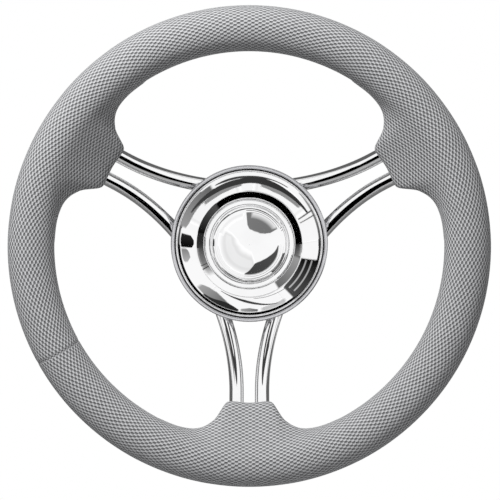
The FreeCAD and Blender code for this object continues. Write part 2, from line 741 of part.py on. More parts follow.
core_ring = make_core_ring()
rod_forms = {side: make_rod_form(side, turn) for side, turn in ROD_TURNS.items()}
armature = doc.addObject("Part::MultiFuse", "armature_form")
armature.Shapes = [core_ring] + list(rod_forms.values())
doc.recompute()
rods_only = doc.addObject("Part::Compound", "rods_together")
rods_only.Links = list(rod_forms.values())
doc.recompute()

subparts = [core_ring]
subparts += [cut(f"spoke_rod_{side}", form, core_ring) for side, form in rod_forms.items()]
subparts.append(cut("rim_grip", make_grip_form(), armature))
subparts.append(make_hub_boss())
subparts.append(make_hub_cup())
subparts.append(make_saddles(rods_only))
subparts.append(make_hub_ring())
subparts.append(make_dish_seal())
subparts.append(make_hub_dish())
subparts.append(make_posts())
subparts.append(make_washers())
subparts.append(make_screws())
subparts.append(make_cap_bezel())
subparts.append(make_cap_seal())
subparts.append(make_cap_dome())
subparts.append(make_cap_body())

for item in doc.Objects:
    if "Invalid" in item.State or "Error" in item.State:
        raise RuntimeError(f"{item.Name} failed: {item.State}")

os.makedirs("parts", exist_ok=True)
for item in subparts:
    shape = item.Shape.copy()
    shape.Placement = UPRIGHT * shape.Placement
    if shape.isNull() or not shape.isValid():
        raise RuntimeError(f"{item.Label} has no valid shape")
    shape.exportStep(f"parts/{item.Label}.step")
    print(item.Label, len(shape.Solids), round(shape.Volume, 1))
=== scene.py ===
"""Boat steering wheel: moulded grip, three bent rods and a polished hub, dressed for its picture."""
import logging
import math
from dataclasses import dataclass, field
from enum import Enum
from typing import Any, Sequence

import bpy
import numpy as np
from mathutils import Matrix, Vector
from mathutils.geometry import convex_hull_2d


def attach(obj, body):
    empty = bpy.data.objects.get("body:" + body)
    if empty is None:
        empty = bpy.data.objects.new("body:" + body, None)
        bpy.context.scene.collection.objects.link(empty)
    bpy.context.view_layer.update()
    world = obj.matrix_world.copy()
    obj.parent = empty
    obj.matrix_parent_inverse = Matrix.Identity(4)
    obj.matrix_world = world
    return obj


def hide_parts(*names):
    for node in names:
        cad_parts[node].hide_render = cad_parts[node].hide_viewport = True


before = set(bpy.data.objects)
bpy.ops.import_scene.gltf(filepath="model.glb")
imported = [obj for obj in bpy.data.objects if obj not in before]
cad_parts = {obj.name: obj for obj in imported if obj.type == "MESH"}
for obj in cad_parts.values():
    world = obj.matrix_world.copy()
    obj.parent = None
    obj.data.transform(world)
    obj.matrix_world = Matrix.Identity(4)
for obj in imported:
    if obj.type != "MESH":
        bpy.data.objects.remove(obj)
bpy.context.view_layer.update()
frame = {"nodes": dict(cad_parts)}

log = logging.getLogger("boat_steering_wheel")

ROOT = "root"
# Turn of each rod about the shaft axis in degrees
ROD_TURNS = {"top": 0.0, "left": 120.0, "right": -120.0}
Colour = tuple[float, float, float]
Pair = tuple[float, float]
Spot = tuple[float, float, float]


def mm(value: float) -> float:
    """Turn millimetres into metres."""
    return value / 1000.0


def smooth(value: np.ndarray | float, low: float, high: float) -> Any:
    """Ease from 0 at low to 1 at high.

    Args:
        value: Number or array to ease.
        low: Where the ease starts.
        high: Where it ends.

    Returns:
        The eased number or array, from 0 to 1.
    """
    share = np.clip((value - low) / (high - low), 0.0, 1.0)
    return share * share * (3.0 - 2.0 * share)


def off_by(turn: Any, middle: float) -> Any:
    """Return how far a turn lies from another, from -180 to 180 degrees."""
    return (turn - middle + 180.0) % 360.0 - 180.0


def doubled_area(outline: np.ndarray) -> float:
    """Return twice an outline's area, above zero where it runs anticlockwise."""
    following = np.roll(outline, -1, axis=0)
    return float(np.sum(outline[:, 0] * following[:, 1] - following[:, 0] * outline[:, 1]))


def round_the_shaft(radius: Any, height: Any, angle: np.ndarray) -> np.ndarray:
    """Place points, or directions, of a turned or ring-shaped piece in the row's frame.

    Args:
        radius: Distances from the shaft axis.
        height: Heights above the boss's rear face.
        angle: Angles round the shaft axis in radians.

    Returns:
        The points, with their three coordinates along the last axis.
    """
    return np.stack(np.broadcast_arrays(radius * np.cos(angle), -height, radius * np.sin(angle)), axis=-1)


class LineWay(Enum):
    """Which way the fine lines of a satin finish run."""

    ROUND_THE_SHAFT = "rings"
    ALONG_THE_PIECE = "lines"


class Nodes:
    """A node tree, with short calls to add nodes to it."""

    def __init__(self, tree: bpy.types.NodeTree) -> None:
        """Take the tree of a material or of the world and empty it.

        Args:
            tree: The tree.
        """
        self.tree = tree
        self.tree.nodes.clear()

    def feed(self, socket: Any, value: Any) -> None:
        """Set a socket to a plain value, or join it to another node's output.

        Args:
            socket: The input to fill.
            value: A number, a tuple or an output socket.
        """
        if isinstance(value, bpy.types.NodeSocket):
            self.tree.links.new(value, socket)
        elif isinstance(value, tuple) and len(value) == 3 and socket.type == "RGBA":
            socket.default_value = (*value, 1.0)
        else:
            socket.default_value = value

    def node(self, kind: str, inputs: dict[Any, Any] | None = None, **settings: Any) -> Any:
        """Add a node.

        Args:
            kind: The node's type name.
            inputs: Values or sockets by input name or number.
            **settings: Properties of the node itself.

        Returns:
            The new node.
        """
        made = self.tree.nodes.new(kind)
        for key, value in settings.items():
            setattr(made, key, value)
        for key, value in (inputs or {}).items():
            self.feed(made.inputs[key], value)
        return made

    def math(self, operation: str, first: Any, second: Any = 0.0, third: Any = 0.0) -> Any:
        """Add a math node and return its output."""
        made = self.node("ShaderNodeMath", {0: first, 1: second, 2: third}, operation=operation)
        return made.outputs[0]


class Recipe(Nodes):
    """A material's nodes, with short calls for what the finishes share."""

    def __init__(self, name: str) -> None:
        """Start a material with a single surface shader.

        Args:
            name: The material's name.
        """
        self.material = bpy.data.materials.new(name)
        self.material.use_nodes = True
        super().__init__(self.material.node_tree)
        self.output = self.node("ShaderNodeOutputMaterial")
        self.shader = self.node("ShaderNodeBsdfPrincipled")
        self.feed(self.output.inputs["Surface"], self.shader.outputs[0])

    def blend(self, share: Any, low: Any, high: Any) -> Any:
        """Mix two colours.

        Args:
            share: Share of the second colour.
            low: The first colour.
            high: The second colour.

        Returns:
            The mixed colour.
        """
        made = self.node("ShaderNodeMix", data_type="RGBA")
        self.feed(made.inputs[0], share)
        self.feed(made.inputs[6], low)
        self.feed(made.inputs[7], high)
        return made.outputs[2]

    def mottle(self, share: Any, colour: Colour, tone: float) -> Any:
        """Mix a colour with its own darker or lighter tone by a share and return the mixed colour."""
        return self.blend(share, colour, tuple(tone * part for part in colour))

    def spread(self, value: Any, low: float, high: float, to_low: float, to_high: float) -> Any:
        """Map a value from one range to another with soft ends.

        Args:
            value: Output socket to map.
            low: Start of the source range.
            high: End of the source range.
            to_low: Result at the start.
            to_high: Result at the end.

        Returns:
            The mapped output.
        """
        made = self.node("ShaderNodeMapRange", {0: value, 1: low, 2: high, 3: to_low, 4: to_high},
                         interpolation_type="SMOOTHSTEP")
        return made.outputs[0]

    def place(self, stretch: Spot = (1.0, 1.0, 1.0)) -> Any:
        """Return the object's own coordinates in metres, stretched along each axis."""
        coordinates = self.node("ShaderNodeTexCoord").outputs["Object"]
        return self.node("ShaderNodeMapping", {"Vector": coordinates, "Scale": stretch}).outputs[0]

    def noise(self, place: Any, scale: float, detail: float = 3.0, roughness: float = 0.55) -> Any:
        """Return soft noise from 0 to 1 at a number of features a metre."""
        made = self.node("ShaderNodeTexNoise", {"Vector": place, "Scale": scale, "Detail": detail,
                                                "Roughness": roughness})
        return made.outputs["Fac"]

    def bump(self, height: Any, depth: float, strength: float = 1.0, under: Any = None) -> Any:
        """Return a normal bent by a height.

        Args:
            height: Output with the height, in units of depth.
            depth: Depth of a unit of height, in metres.
            strength: Share of the bump that is used.
            under: Another bump's normal that this one lies on.

        Returns:
            The bent normal.
        """
        inputs = {"Height": height, "Distance": depth, "Strength": strength}
        if under is not None:
            inputs["Normal"] = under
        return self.node("ShaderNodeBump", inputs).outputs[0]

    def surface(self, **values: Any) -> bpy.types.Material:
        """Fill the surface shader's sockets by name and return the material."""
        for name, value in values.items():
            self.feed(self.shader.inputs[name.replace("_", " ")], value)
        return self.material


@dataclass(frozen=True)
class GripFoam:
    """Moulded foam skin with a lattice of small rounded grains, its valleys darkened by painted shade.

    Depths are in millimetres and counts are features a metre, here and in the other finishes.
    """

    name: str = "grip_foam_skin"
    crest: Colour = (0.47, 0.473, 0.482)
    worn_crest: Colour = (0.42, 0.423, 0.431)
    # Dark colour painted into the valleys between the grains: painted shade, not the foam's own colour
    painted_valley_shade: Colour = (0.14, 0.141, 0.146)
    seam_shade: Colour = (0.08, 0.079, 0.083)
    seam_share: float = 0.5
    wear_share: float = 0.16
    wear_count: float = 34.0
    grain_depth: float = 0.98
    grain_range: Pair = (-0.9, 0.55)
    unevenness: float = 0.55
    uneven_count: float = 420.0
    skin_depth: float = 0.03
    skin_count: float = 2600.0
    skin_weight: float = 0.4
    rough_ends: Pair = (0.72, 0.5)

    def make(self) -> bpy.types.Material:
        """Build the foam skin from the grain's own run and round coordinates.

        Returns:
            The material.
        """
        recipe = Recipe(self.name)
        grain = recipe.node("ShaderNodeUVMap", uv_map="grain").outputs[0]
        ways = recipe.node("ShaderNodeSeparateXYZ", {0: grain}).outputs
        along, around = (recipe.math("COSINE", recipe.math("MULTIPLY", way, math.tau)) for way in ways[:2])
        place = recipe.place()
        fine = recipe.noise(place, self.skin_count, 2.0)
        uneven = recipe.math("SUBTRACT", recipe.noise(place, self.uneven_count, 2.0), 0.5)
        lattice = recipe.math("ADD", recipe.math("MULTIPLY", along, around),
                              recipe.math("MULTIPLY", uneven, self.unevenness))
        height = recipe.spread(lattice, *self.grain_range, 0.0, 1.0)
        seam = recipe.node("ShaderNodeAttribute", attribute_name="seam").outputs["Fac"]
        wear = recipe.spread(recipe.noise(place, self.wear_count), 0.3, 0.7, 0.0, self.wear_share)
        crest = recipe.blend(wear, self.crest, self.worn_crest)
        # Painted shade: the colour darkens from crest to valley with the grain's height
        colour = recipe.blend(height, self.painted_valley_shade, crest)
        colour = recipe.blend(recipe.math("MULTIPLY", seam, self.seam_share), colour, self.seam_shade)
        normal = recipe.bump(height, mm(self.grain_depth), 1.0, recipe.bump(fine, mm(self.skin_depth)))
        dull = recipe.math("ADD", height, recipe.math("MULTIPLY", fine, self.skin_weight))
        rough = recipe.spread(dull, 0.0, 1.0 + self.skin_weight, *self.rough_ends)
        return recipe.surface(Base_Color=colour, Roughness=rough, Normal=normal, Specular_IOR_Level=0.3)


@dataclass(frozen=True)
class PolishedSteel:
    """Mirror-polished stainless steel with faint polishing marks and a slight waviness."""

    name: str = "polished_steel_mirror"
    colour: Colour = (0.95, 0.95, 0.955)
    roughness: float = 0.02
    haze: float = 0.03
    smear_tone: float = 0.93
    smear_count: float = 38.0
    mark_stretch: Spot = (1.0, 0.12, 1.0)
    mark_count: float = 900.0
    mark_weight: float = 0.35
    mark_depth: float = 0.0006
    wave_count: float = 45.0
    wave_depth: float = 0.08
    bump_share: float = 0.3

    def make(self) -> bpy.types.Material:
        """Build the mirror finish.

        Returns:
            The material.
        """
        recipe = Recipe(self.name)
        place = recipe.place()
        smear = recipe.noise(place, self.smear_count, 4.0)
        marks = recipe.noise(recipe.place(self.mark_stretch), self.mark_count, 2.0)
        tint = recipe.mottle(recipe.spread(smear, 0.35, 0.7, 0.0, 0.5), self.colour, self.smear_tone)
        dull = recipe.math("ADD", smear, recipe.math("MULTIPLY", marks, self.mark_weight))
        rough = recipe.spread(dull, 0.45, 1.05, self.roughness, self.roughness + self.haze)
        wave = recipe.bump(recipe.noise(place, self.wave_count, 1.0), mm(self.wave_depth), self.bump_share)
        normal = recipe.bump(marks, mm(self.mark_depth), self.bump_share, wave)
        return recipe.surface(Base_Color=tint, Metallic=1.0, Roughness=rough, Normal=normal)


@dataclass(frozen=True)
class SatinSteel:
    """Brushed or turned steel: fine rings or lines that catch the light across them."""

    name: str = "satin_steel"
    colour: Colour = (0.6, 0.6, 0.61)
    roughness: float = 0.26
    lines: LineWay = LineWay.ROUND_THE_SHAFT
    rough_swing: Pair = (-0.07, 0.12)
    line_stretch: Spot = (0.06, 0.06, 1.0)
    line_count: float = 4200.0
    line_depth: float = 0.012
    cloud_tone: float = 0.84
    cloud_count: float = 55.0

    def make(self) -> bpy.types.Material:
        """Build the satin finish, ringed about the shaft axis or lined along it.

        Returns:
            The material.
        """
        recipe = Recipe(self.name)
        place = recipe.place()
        if self.lines is LineWay.ROUND_THE_SHAFT:
            ways = recipe.node("ShaderNodeSeparateXYZ", {0: place}).outputs
            across, upward = (recipe.math("POWER", ways[axis], 2.0) for axis in (0, 2))
            radius = recipe.math("SQRT", recipe.math("ADD", across, upward))
            lines = recipe.node("ShaderNodeCombineXYZ", {0: radius, 1: ways[1]}).outputs[0]
        else:
            lines = recipe.place(self.line_stretch)
        marks = recipe.noise(lines, self.line_count, 2.0)
        clouds = recipe.spread(recipe.noise(place, self.cloud_count), 0.3, 0.75, 0.0, 1.0)
        tint = recipe.mottle(clouds, self.colour, self.cloud_tone)
        rough = recipe.spread(marks, 0.25, 0.75, *(self.roughness + swing for swing in self.rough_swing))
        normal = recipe.bump(marks, mm(self.line_depth), 0.6)
        return recipe.surface(Base_Color=tint, Metallic=1.0, Roughness=rough, Normal=normal)


@dataclass(frozen=True)
class BlackMoulding:
    """Black moulded rubber or plastic with a fine eroded skin."""

    name: str = "black_moulding"
    colour: Colour = (0.022, 0.022, 0.024)
    roughness: float = 0.6
    skin_depth: float = 0.02
    skin_count: float = 1800.0
    rough_swing: Pair = (-0.1, 0.12)
    cloud_tone: float = 1.9
    cloud_count: float = 70.0

    def make(self) -> bpy.types.Material:
        """Build the moulded finish.

        Returns:
            The material.
        """
        recipe = Recipe(self.name)
        place = recipe.place()
        skin = recipe.noise(place, self.skin_count)
        clouds = recipe.spread(recipe.noise(place, self.cloud_count), 0.3, 0.7, 0.0, 1.0)
        tint = recipe.mottle(clouds, self.colour, self.cloud_tone)
        rough = recipe.spread(skin, 0.3, 0.7, *(self.roughness + swing for swing in self.rough_swing))
        normal = recipe.bump(skin, mm(self.skin_depth), 0.8)
        return recipe.surface(Base_Color=tint, Roughness=rough, Normal=normal)


@dataclass(frozen=True)
class PaleFloor:
    """Pale, matt floor sheet."""

    name: str = "pale_floor_sheet"
    colour: Colour = (0.82, 0.82, 0.83)
    roughness: float = 0.75
    cloud_tone: float = 0.97
    cloud_count: float = 6.0

    def make(self) -> bpy.types.Material:
        """Build the floor's finish with a faint unevenness.

        Returns:
            The material.
        """
        recipe = Recipe(self.name)
        clouds = recipe.spread(recipe.noise(recipe.place(), self.cloud_count), 0.3, 0.7, 0.0, 1.0)
        return recipe.surface(Base_Color=recipe.mottle(clouds, self.colour, self.cloud_tone),
                              Roughness=self.roughness)


@dataclass(frozen=True)
class CardFace:
    """Unlit face of the studio cards, each of which stores its own glow and how much it hides."""

    name: str = "studio_card_face"

    def make(self) -> bpy.types.Material:
        """Build the face.

        Returns:
            The material.
        """
        recipe = Recipe(self.name)
        glow, hides = (recipe.node("ShaderNodeAttribute", attribute_name=kept).outputs["Fac"]
                       for kept in ("glow", "hides"))
        light = recipe.node("ShaderNodeEmission", {"Color": (1.0, 1.0, 1.0), "Strength": glow})
        clear = recipe.node("ShaderNodeBsdfTransparent", {"Color": recipe.spread(hides, 0.0, 1.0, 1.0, 0.0)})
        both = recipe.node("ShaderNodeAddShader", {0: light.outputs[0], 1: clear.outputs[0]})
        recipe.feed(recipe.output.inputs["Surface"], both.outputs[0])
        recipe.material.cycles.emission_sampling = "NONE"
        return recipe.material


@dataclass(frozen=True)
class StudioCard:
    """Curved strip of card that only shows in polished metal.

    Attributes:
        name: The card's name.
        edges: Stations along the card: the bearing in degrees, clockwise from the top as the driver
            sees it, and the leans of its two edges in degrees off the line that the hub's flat
            faces mirror.
        shades: Brightness at its two ends, 0 for black and 1 for white.
        soft: Width of its faded border in degrees.
        rods: Brightness that the top, left and right rods see instead, or None for the same.
    """

    name: str
    edges: tuple[Spot, ...]
    shades: Pair
    soft: float = 1.2
    rods: Spot | None = None


def new_piece(name: str, points: np.ndarray, faces: Sequence[Sequence[int]], finish: bpy.types.Material,
              normals: np.ndarray | None = None) -> bpy.types.Object:
    """Make a smooth mesh piece in the row's frame.

    Args:
        name: The piece's name.
        points: Corner points in millimetres, one row each.
        faces: Corner numbers of each face.
        finish: The piece's material.
        normals: Unit normal at each point, where the exact ones are known.

    Returns:
        The new object.
    """
    first, second, third = (points[[face[corner] for face in faces]] for corner in (0, 1, 2))
    last = points[[face[-1] for face in faces]]
    volume = np.sum(first * np.cross(second, third)) + np.sum(first * np.cross(third, last))
    if volume < 0:
        faces = [tuple(reversed(face)) for face in faces]
    mesh = bpy.data.meshes.new(name)
    mesh.from_pydata((points / 1000.0).tolist(), [], faces)
    mesh.polygons.foreach_set("use_smooth", [True] * len(mesh.polygons))
    mesh.materials.append(finish)
    mesh.update()
    if normals is not None:
        mesh.normals_split_custom_set_from_vertices(normals.tolist())
    made = bpy.data.objects.new(name, mesh)
    bpy.context.scene.collection.objects.link(made)
    return made


def ring_faces(rounds: int, across: int) -> list[tuple[int, int, int, int]]:
    """Join a grid of points that closes on itself both ways.

    Args:
        rounds: Number of sections round the ring.
        across: Number of points in each section.

    Returns:
        Four corner numbers for each face.
    """
    faces = []
    for turn in range(rounds):
        following = (turn + 1) % rounds
        for step in range(across):
            after = (step + 1) % across
            faces.append((turn * across + step, turn * across + after,
                          following * across + after, following * across + step))
    return faces


@dataclass
class Profile:
    """Closed outline of a turned piece, with corners softened as a polished edge is.

    Attributes:
        corners: (radius, height) corners in millimetres, in order. A corner with a third number
            is reached by an arc that bulges by so much to the left of its side.
        softness: Rounding of the corners in millimetres.
        spacing: Distance between the points before they are thinned out.
        kept_turn: Turn of the outline, in degrees, after which a point is kept.
        kept_run: Distance after which a point is kept, in millimetres.
        least_bend: Turn from one point to the next, in degrees, above which the outline is bent.
        rounds: Number of sections round the axis.
    """

    corners: Sequence[Sequence[float]]
    softness: float = 0.12
    spacing: float = 0.05
    kept_turn: float = 5.0
    kept_run: float = 2.2
    least_bend: float = 0.15
    rounds: int = 240

    def dense(self) -> np.ndarray:
        """Follow the sides.

        Returns:
            Closely spaced points.
        """
        runs = []
        for number, corner in enumerate(self.corners):
            start = np.array(self.corners[number - 1][:2], float)
            finish = np.array(corner[:2], float)
            length = float(np.linalg.norm(finish - start))
            share = np.linspace(0.0, 1.0, max(2, int(length / self.spacing)), endpoint=False)[:, None]
            run = start + (finish - start) * share
            if len(corner) > 2:
                along = (finish - start) / length
                left = np.array([-along[1], along[0]])
                bulge = float(corner[2])
                radius = (length * length / 4.0 + bulge * bulge) / (2.0 * abs(bulge))
                offset = (share - 0.5) * length
                rise = np.sqrt(radius * radius - offset * offset) - (radius - abs(bulge))
                run = run + left * rise * math.copysign(1.0, bulge)
            runs.append(run)
        return np.concatenate(runs)

    def softened(self) -> tuple[np.ndarray, np.ndarray]:
        """Round the corners and thin the points out where the outline is straight.

        Returns:
            The outline's points, and its outward normals.
        """
        points = self.dense()
        reach = max(1, int(4 * self.softness / self.spacing))
        offsets = np.arange(-reach, reach + 1) * self.spacing
        weights = np.exp(-0.5 * (offsets / self.softness) ** 2)
        weights /= weights.sum()
        soft = sum(weight * np.roll(points, shift, axis=0)
                   for weight, shift in zip(weights, range(-reach, reach + 1)))
        tangent = np.roll(soft, -1, axis=0) - np.roll(soft, 1, axis=0)
        tangent /= np.linalg.norm(tangent, axis=1)[:, None]
        side = 1.0 if doubled_area(soft) > 0 else -1.0
        normal = side * np.stack([tangent[:, 1], -tangent[:, 0]], axis=1)
        turning = np.arccos(np.clip(np.sum(normal * np.roll(normal, -1, axis=0), axis=1), -1.0, 1.0))
        bent = turning > math.radians(self.least_bend)
        kept = [0]
        for number in range(1, len(soft)):
            last = kept[-1]
            turned = normal[number] @ normal[last] < math.cos(math.radians(self.kept_turn))
            far = np.linalg.norm(soft[number] - soft[last]) > self.kept_run
            if turned or far or bent[number] != bent[number - 1]:
                kept.append(number)
        return soft[kept], normal[kept]

    def turned(self, name: str, finish: bpy.types.Material) -> bpy.types.Object:
        """Turn the outline about the shaft axis.

        Args:
            name: The piece's name.
            finish: Its material.

        Returns:
            The turned piece.
        """
        outline, normal = self.softened()
        angles = np.linspace(0.0, math.tau, self.rounds, endpoint=False)[:, None]
        points, normals = (round_the_shaft(kind[:, 0], kind[:, 1], angles).reshape(-1, 3)
                           for kind in (outline, normal))
        return new_piece(name, points, ring_faces(self.rounds, len(outline)), finish, normals)


@dataclass
class RodRoute:
    """Line of a bent rod: an arc under the hub and a straight run to the rim on each side.

    Sizes are in millimetres, heights are above the hub boss's rear face.
    """

    ring_radius: float = 158.0
    rim_height: float = 77.0
    rod_height: float = 23.5
    inset: float = 40.4
    pair_gap: float = 18.9
    arc_steps: int = 60
    run_steps: int = 8

    def __post_init__(self) -> None:
        """Work out the tilt of the rod's plane and its bend."""
        # Pairs 120 degrees apart rise by 30 degrees on each side of the rod's middle
        rise = math.radians(30)
        half = self.pair_gap / 2
        along = math.sqrt(self.ring_radius ** 2 - half ** 2)
        self.end_x = along * math.cos(rise) - half * math.sin(rise)
        run = along * math.sin(rise) + half * math.cos(rise) - self.inset
        self.tilt = math.atan((self.rim_height - self.rod_height) / run)
        self.bend = math.atan(math.tan(rise) / math.cos(self.tilt))
        drop = math.cos(rise) * math.cos(self.tilt) * (1 - math.cos(self.bend))
        self.radius = (math.cos(rise) * self.inset - half) / (math.sin(rise) * math.sin(self.bend) - drop)
        self.end_y = run / math.cos(self.tilt)
        self.climb = math.asin(math.sin(self.bend) * math.sin(self.tilt))

    def line(self) -> tuple[np.ndarray, np.ndarray]:
        """Follow one half of the rod in its own plane.

        Returns:
            The points and the directions along the rod.
        """
        angles = np.linspace(0.0, self.bend, self.arc_steps)
        arc = np.stack([self.radius * np.sin(angles), self.radius * (1 - np.cos(angles))], axis=1)
        arc_way = np.stack([np.cos(angles), np.sin(angles)], axis=1)
        end = np.array([self.end_x, self.end_y])
        share = np.linspace(0.0, 1.0, self.run_steps)[1:, None]
        run = arc[-1] + (end - arc[-1]) * share
        run_way = np.repeat(arc_way[-1:], len(run), axis=0)
        return np.concatenate([arc, run]), np.concatenate([arc_way, run_way])

    def stand(self, flat: np.ndarray, off: np.ndarray, turn: float) -> np.ndarray:
        """Place points of the rod's plane in the row's frame.

        Args:
            flat: Points or directions in the rod's plane.
            off: How far each lies off that plane.
            turn: The rod's turn about the shaft axis, in degrees.

        Returns:
            The same vectors, tilted and turned but not yet moved to the rod's height.
        """
        across = flat[:, 0]
        up = flat[:, 1] * math.cos(self.tilt) - off * math.sin(self.tilt)
        height = flat[:, 1] * math.sin(self.tilt) + off * math.cos(self.tilt)
        cosine, sine = math.cos(math.radians(turn)), math.sin(math.radians(turn))
        return np.stack([across * cosine - up * sine, -height, across * sine + up * cosine], axis=1)


@dataclass
class Spokes:
    """Three polished rods, each bent under the hub from one pair of spokes to the next."""

    route: RodRoute
    diameter: float = 11.0
    sides: int = 48

    def build(self, finish: bpy.types.Material) -> None:
        """Sweep the rods and put each in its solid's place.

        Args:
            finish: The rods' material.
        """
        half, way = self.route.line()
        flat = np.concatenate([half[:0:-1] * (-1, 1), half])
        along = np.concatenate([way[:0:-1] * (1, -1), way])
        side_way = np.stack([-along[:, 1], along[:, 0]], axis=1)
        count = len(flat)
        nothing = np.zeros(count)
        angles = np.linspace(0.0, math.tau, self.sides, endpoint=False)
        faces = [face for face in ring_faces(count, self.sides) if max(face) - min(face) < self.sides * 2]
        faces.append(tuple(range(self.sides - 1, -1, -1)))
        faces.append(tuple((count - 1) * self.sides + step for step in range(self.sides)))
        for side, turn in ROD_TURNS.items():
            centre = self.route.stand(flat, nothing, turn) + self.lift(turn)
            across = self.route.stand(side_way, nothing, turn)
            above = self.route.stand(np.zeros_like(flat), np.ones(count), turn)
            normals = (across[:, None, :] * np.cos(angles)[None, :, None]
                       + above[:, None, :] * np.sin(angles)[None, :, None])
            points = centre[:, None, :] + normals * self.diameter / 2
            piece = new_piece(f"rod_{side}", points.reshape(-1, 3), faces, finish, normals.reshape(-1, 3))
            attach(piece, ROOT)
            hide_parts(f"spoke_rod_{side}")
            log.info("%s: rod of %.0f mm, turned by %.0f degrees", piece.name, self.diameter, turn)

    def lift(self, turn: float) -> np.ndarray:
        """Return the rod's middle point in the row's frame for a turn in degrees."""
        angle = math.radians(turn)
        return np.array([-self.route.inset * math.sin(angle), -self.route.rod_height,
                         self.route.inset * math.cos(angle)])


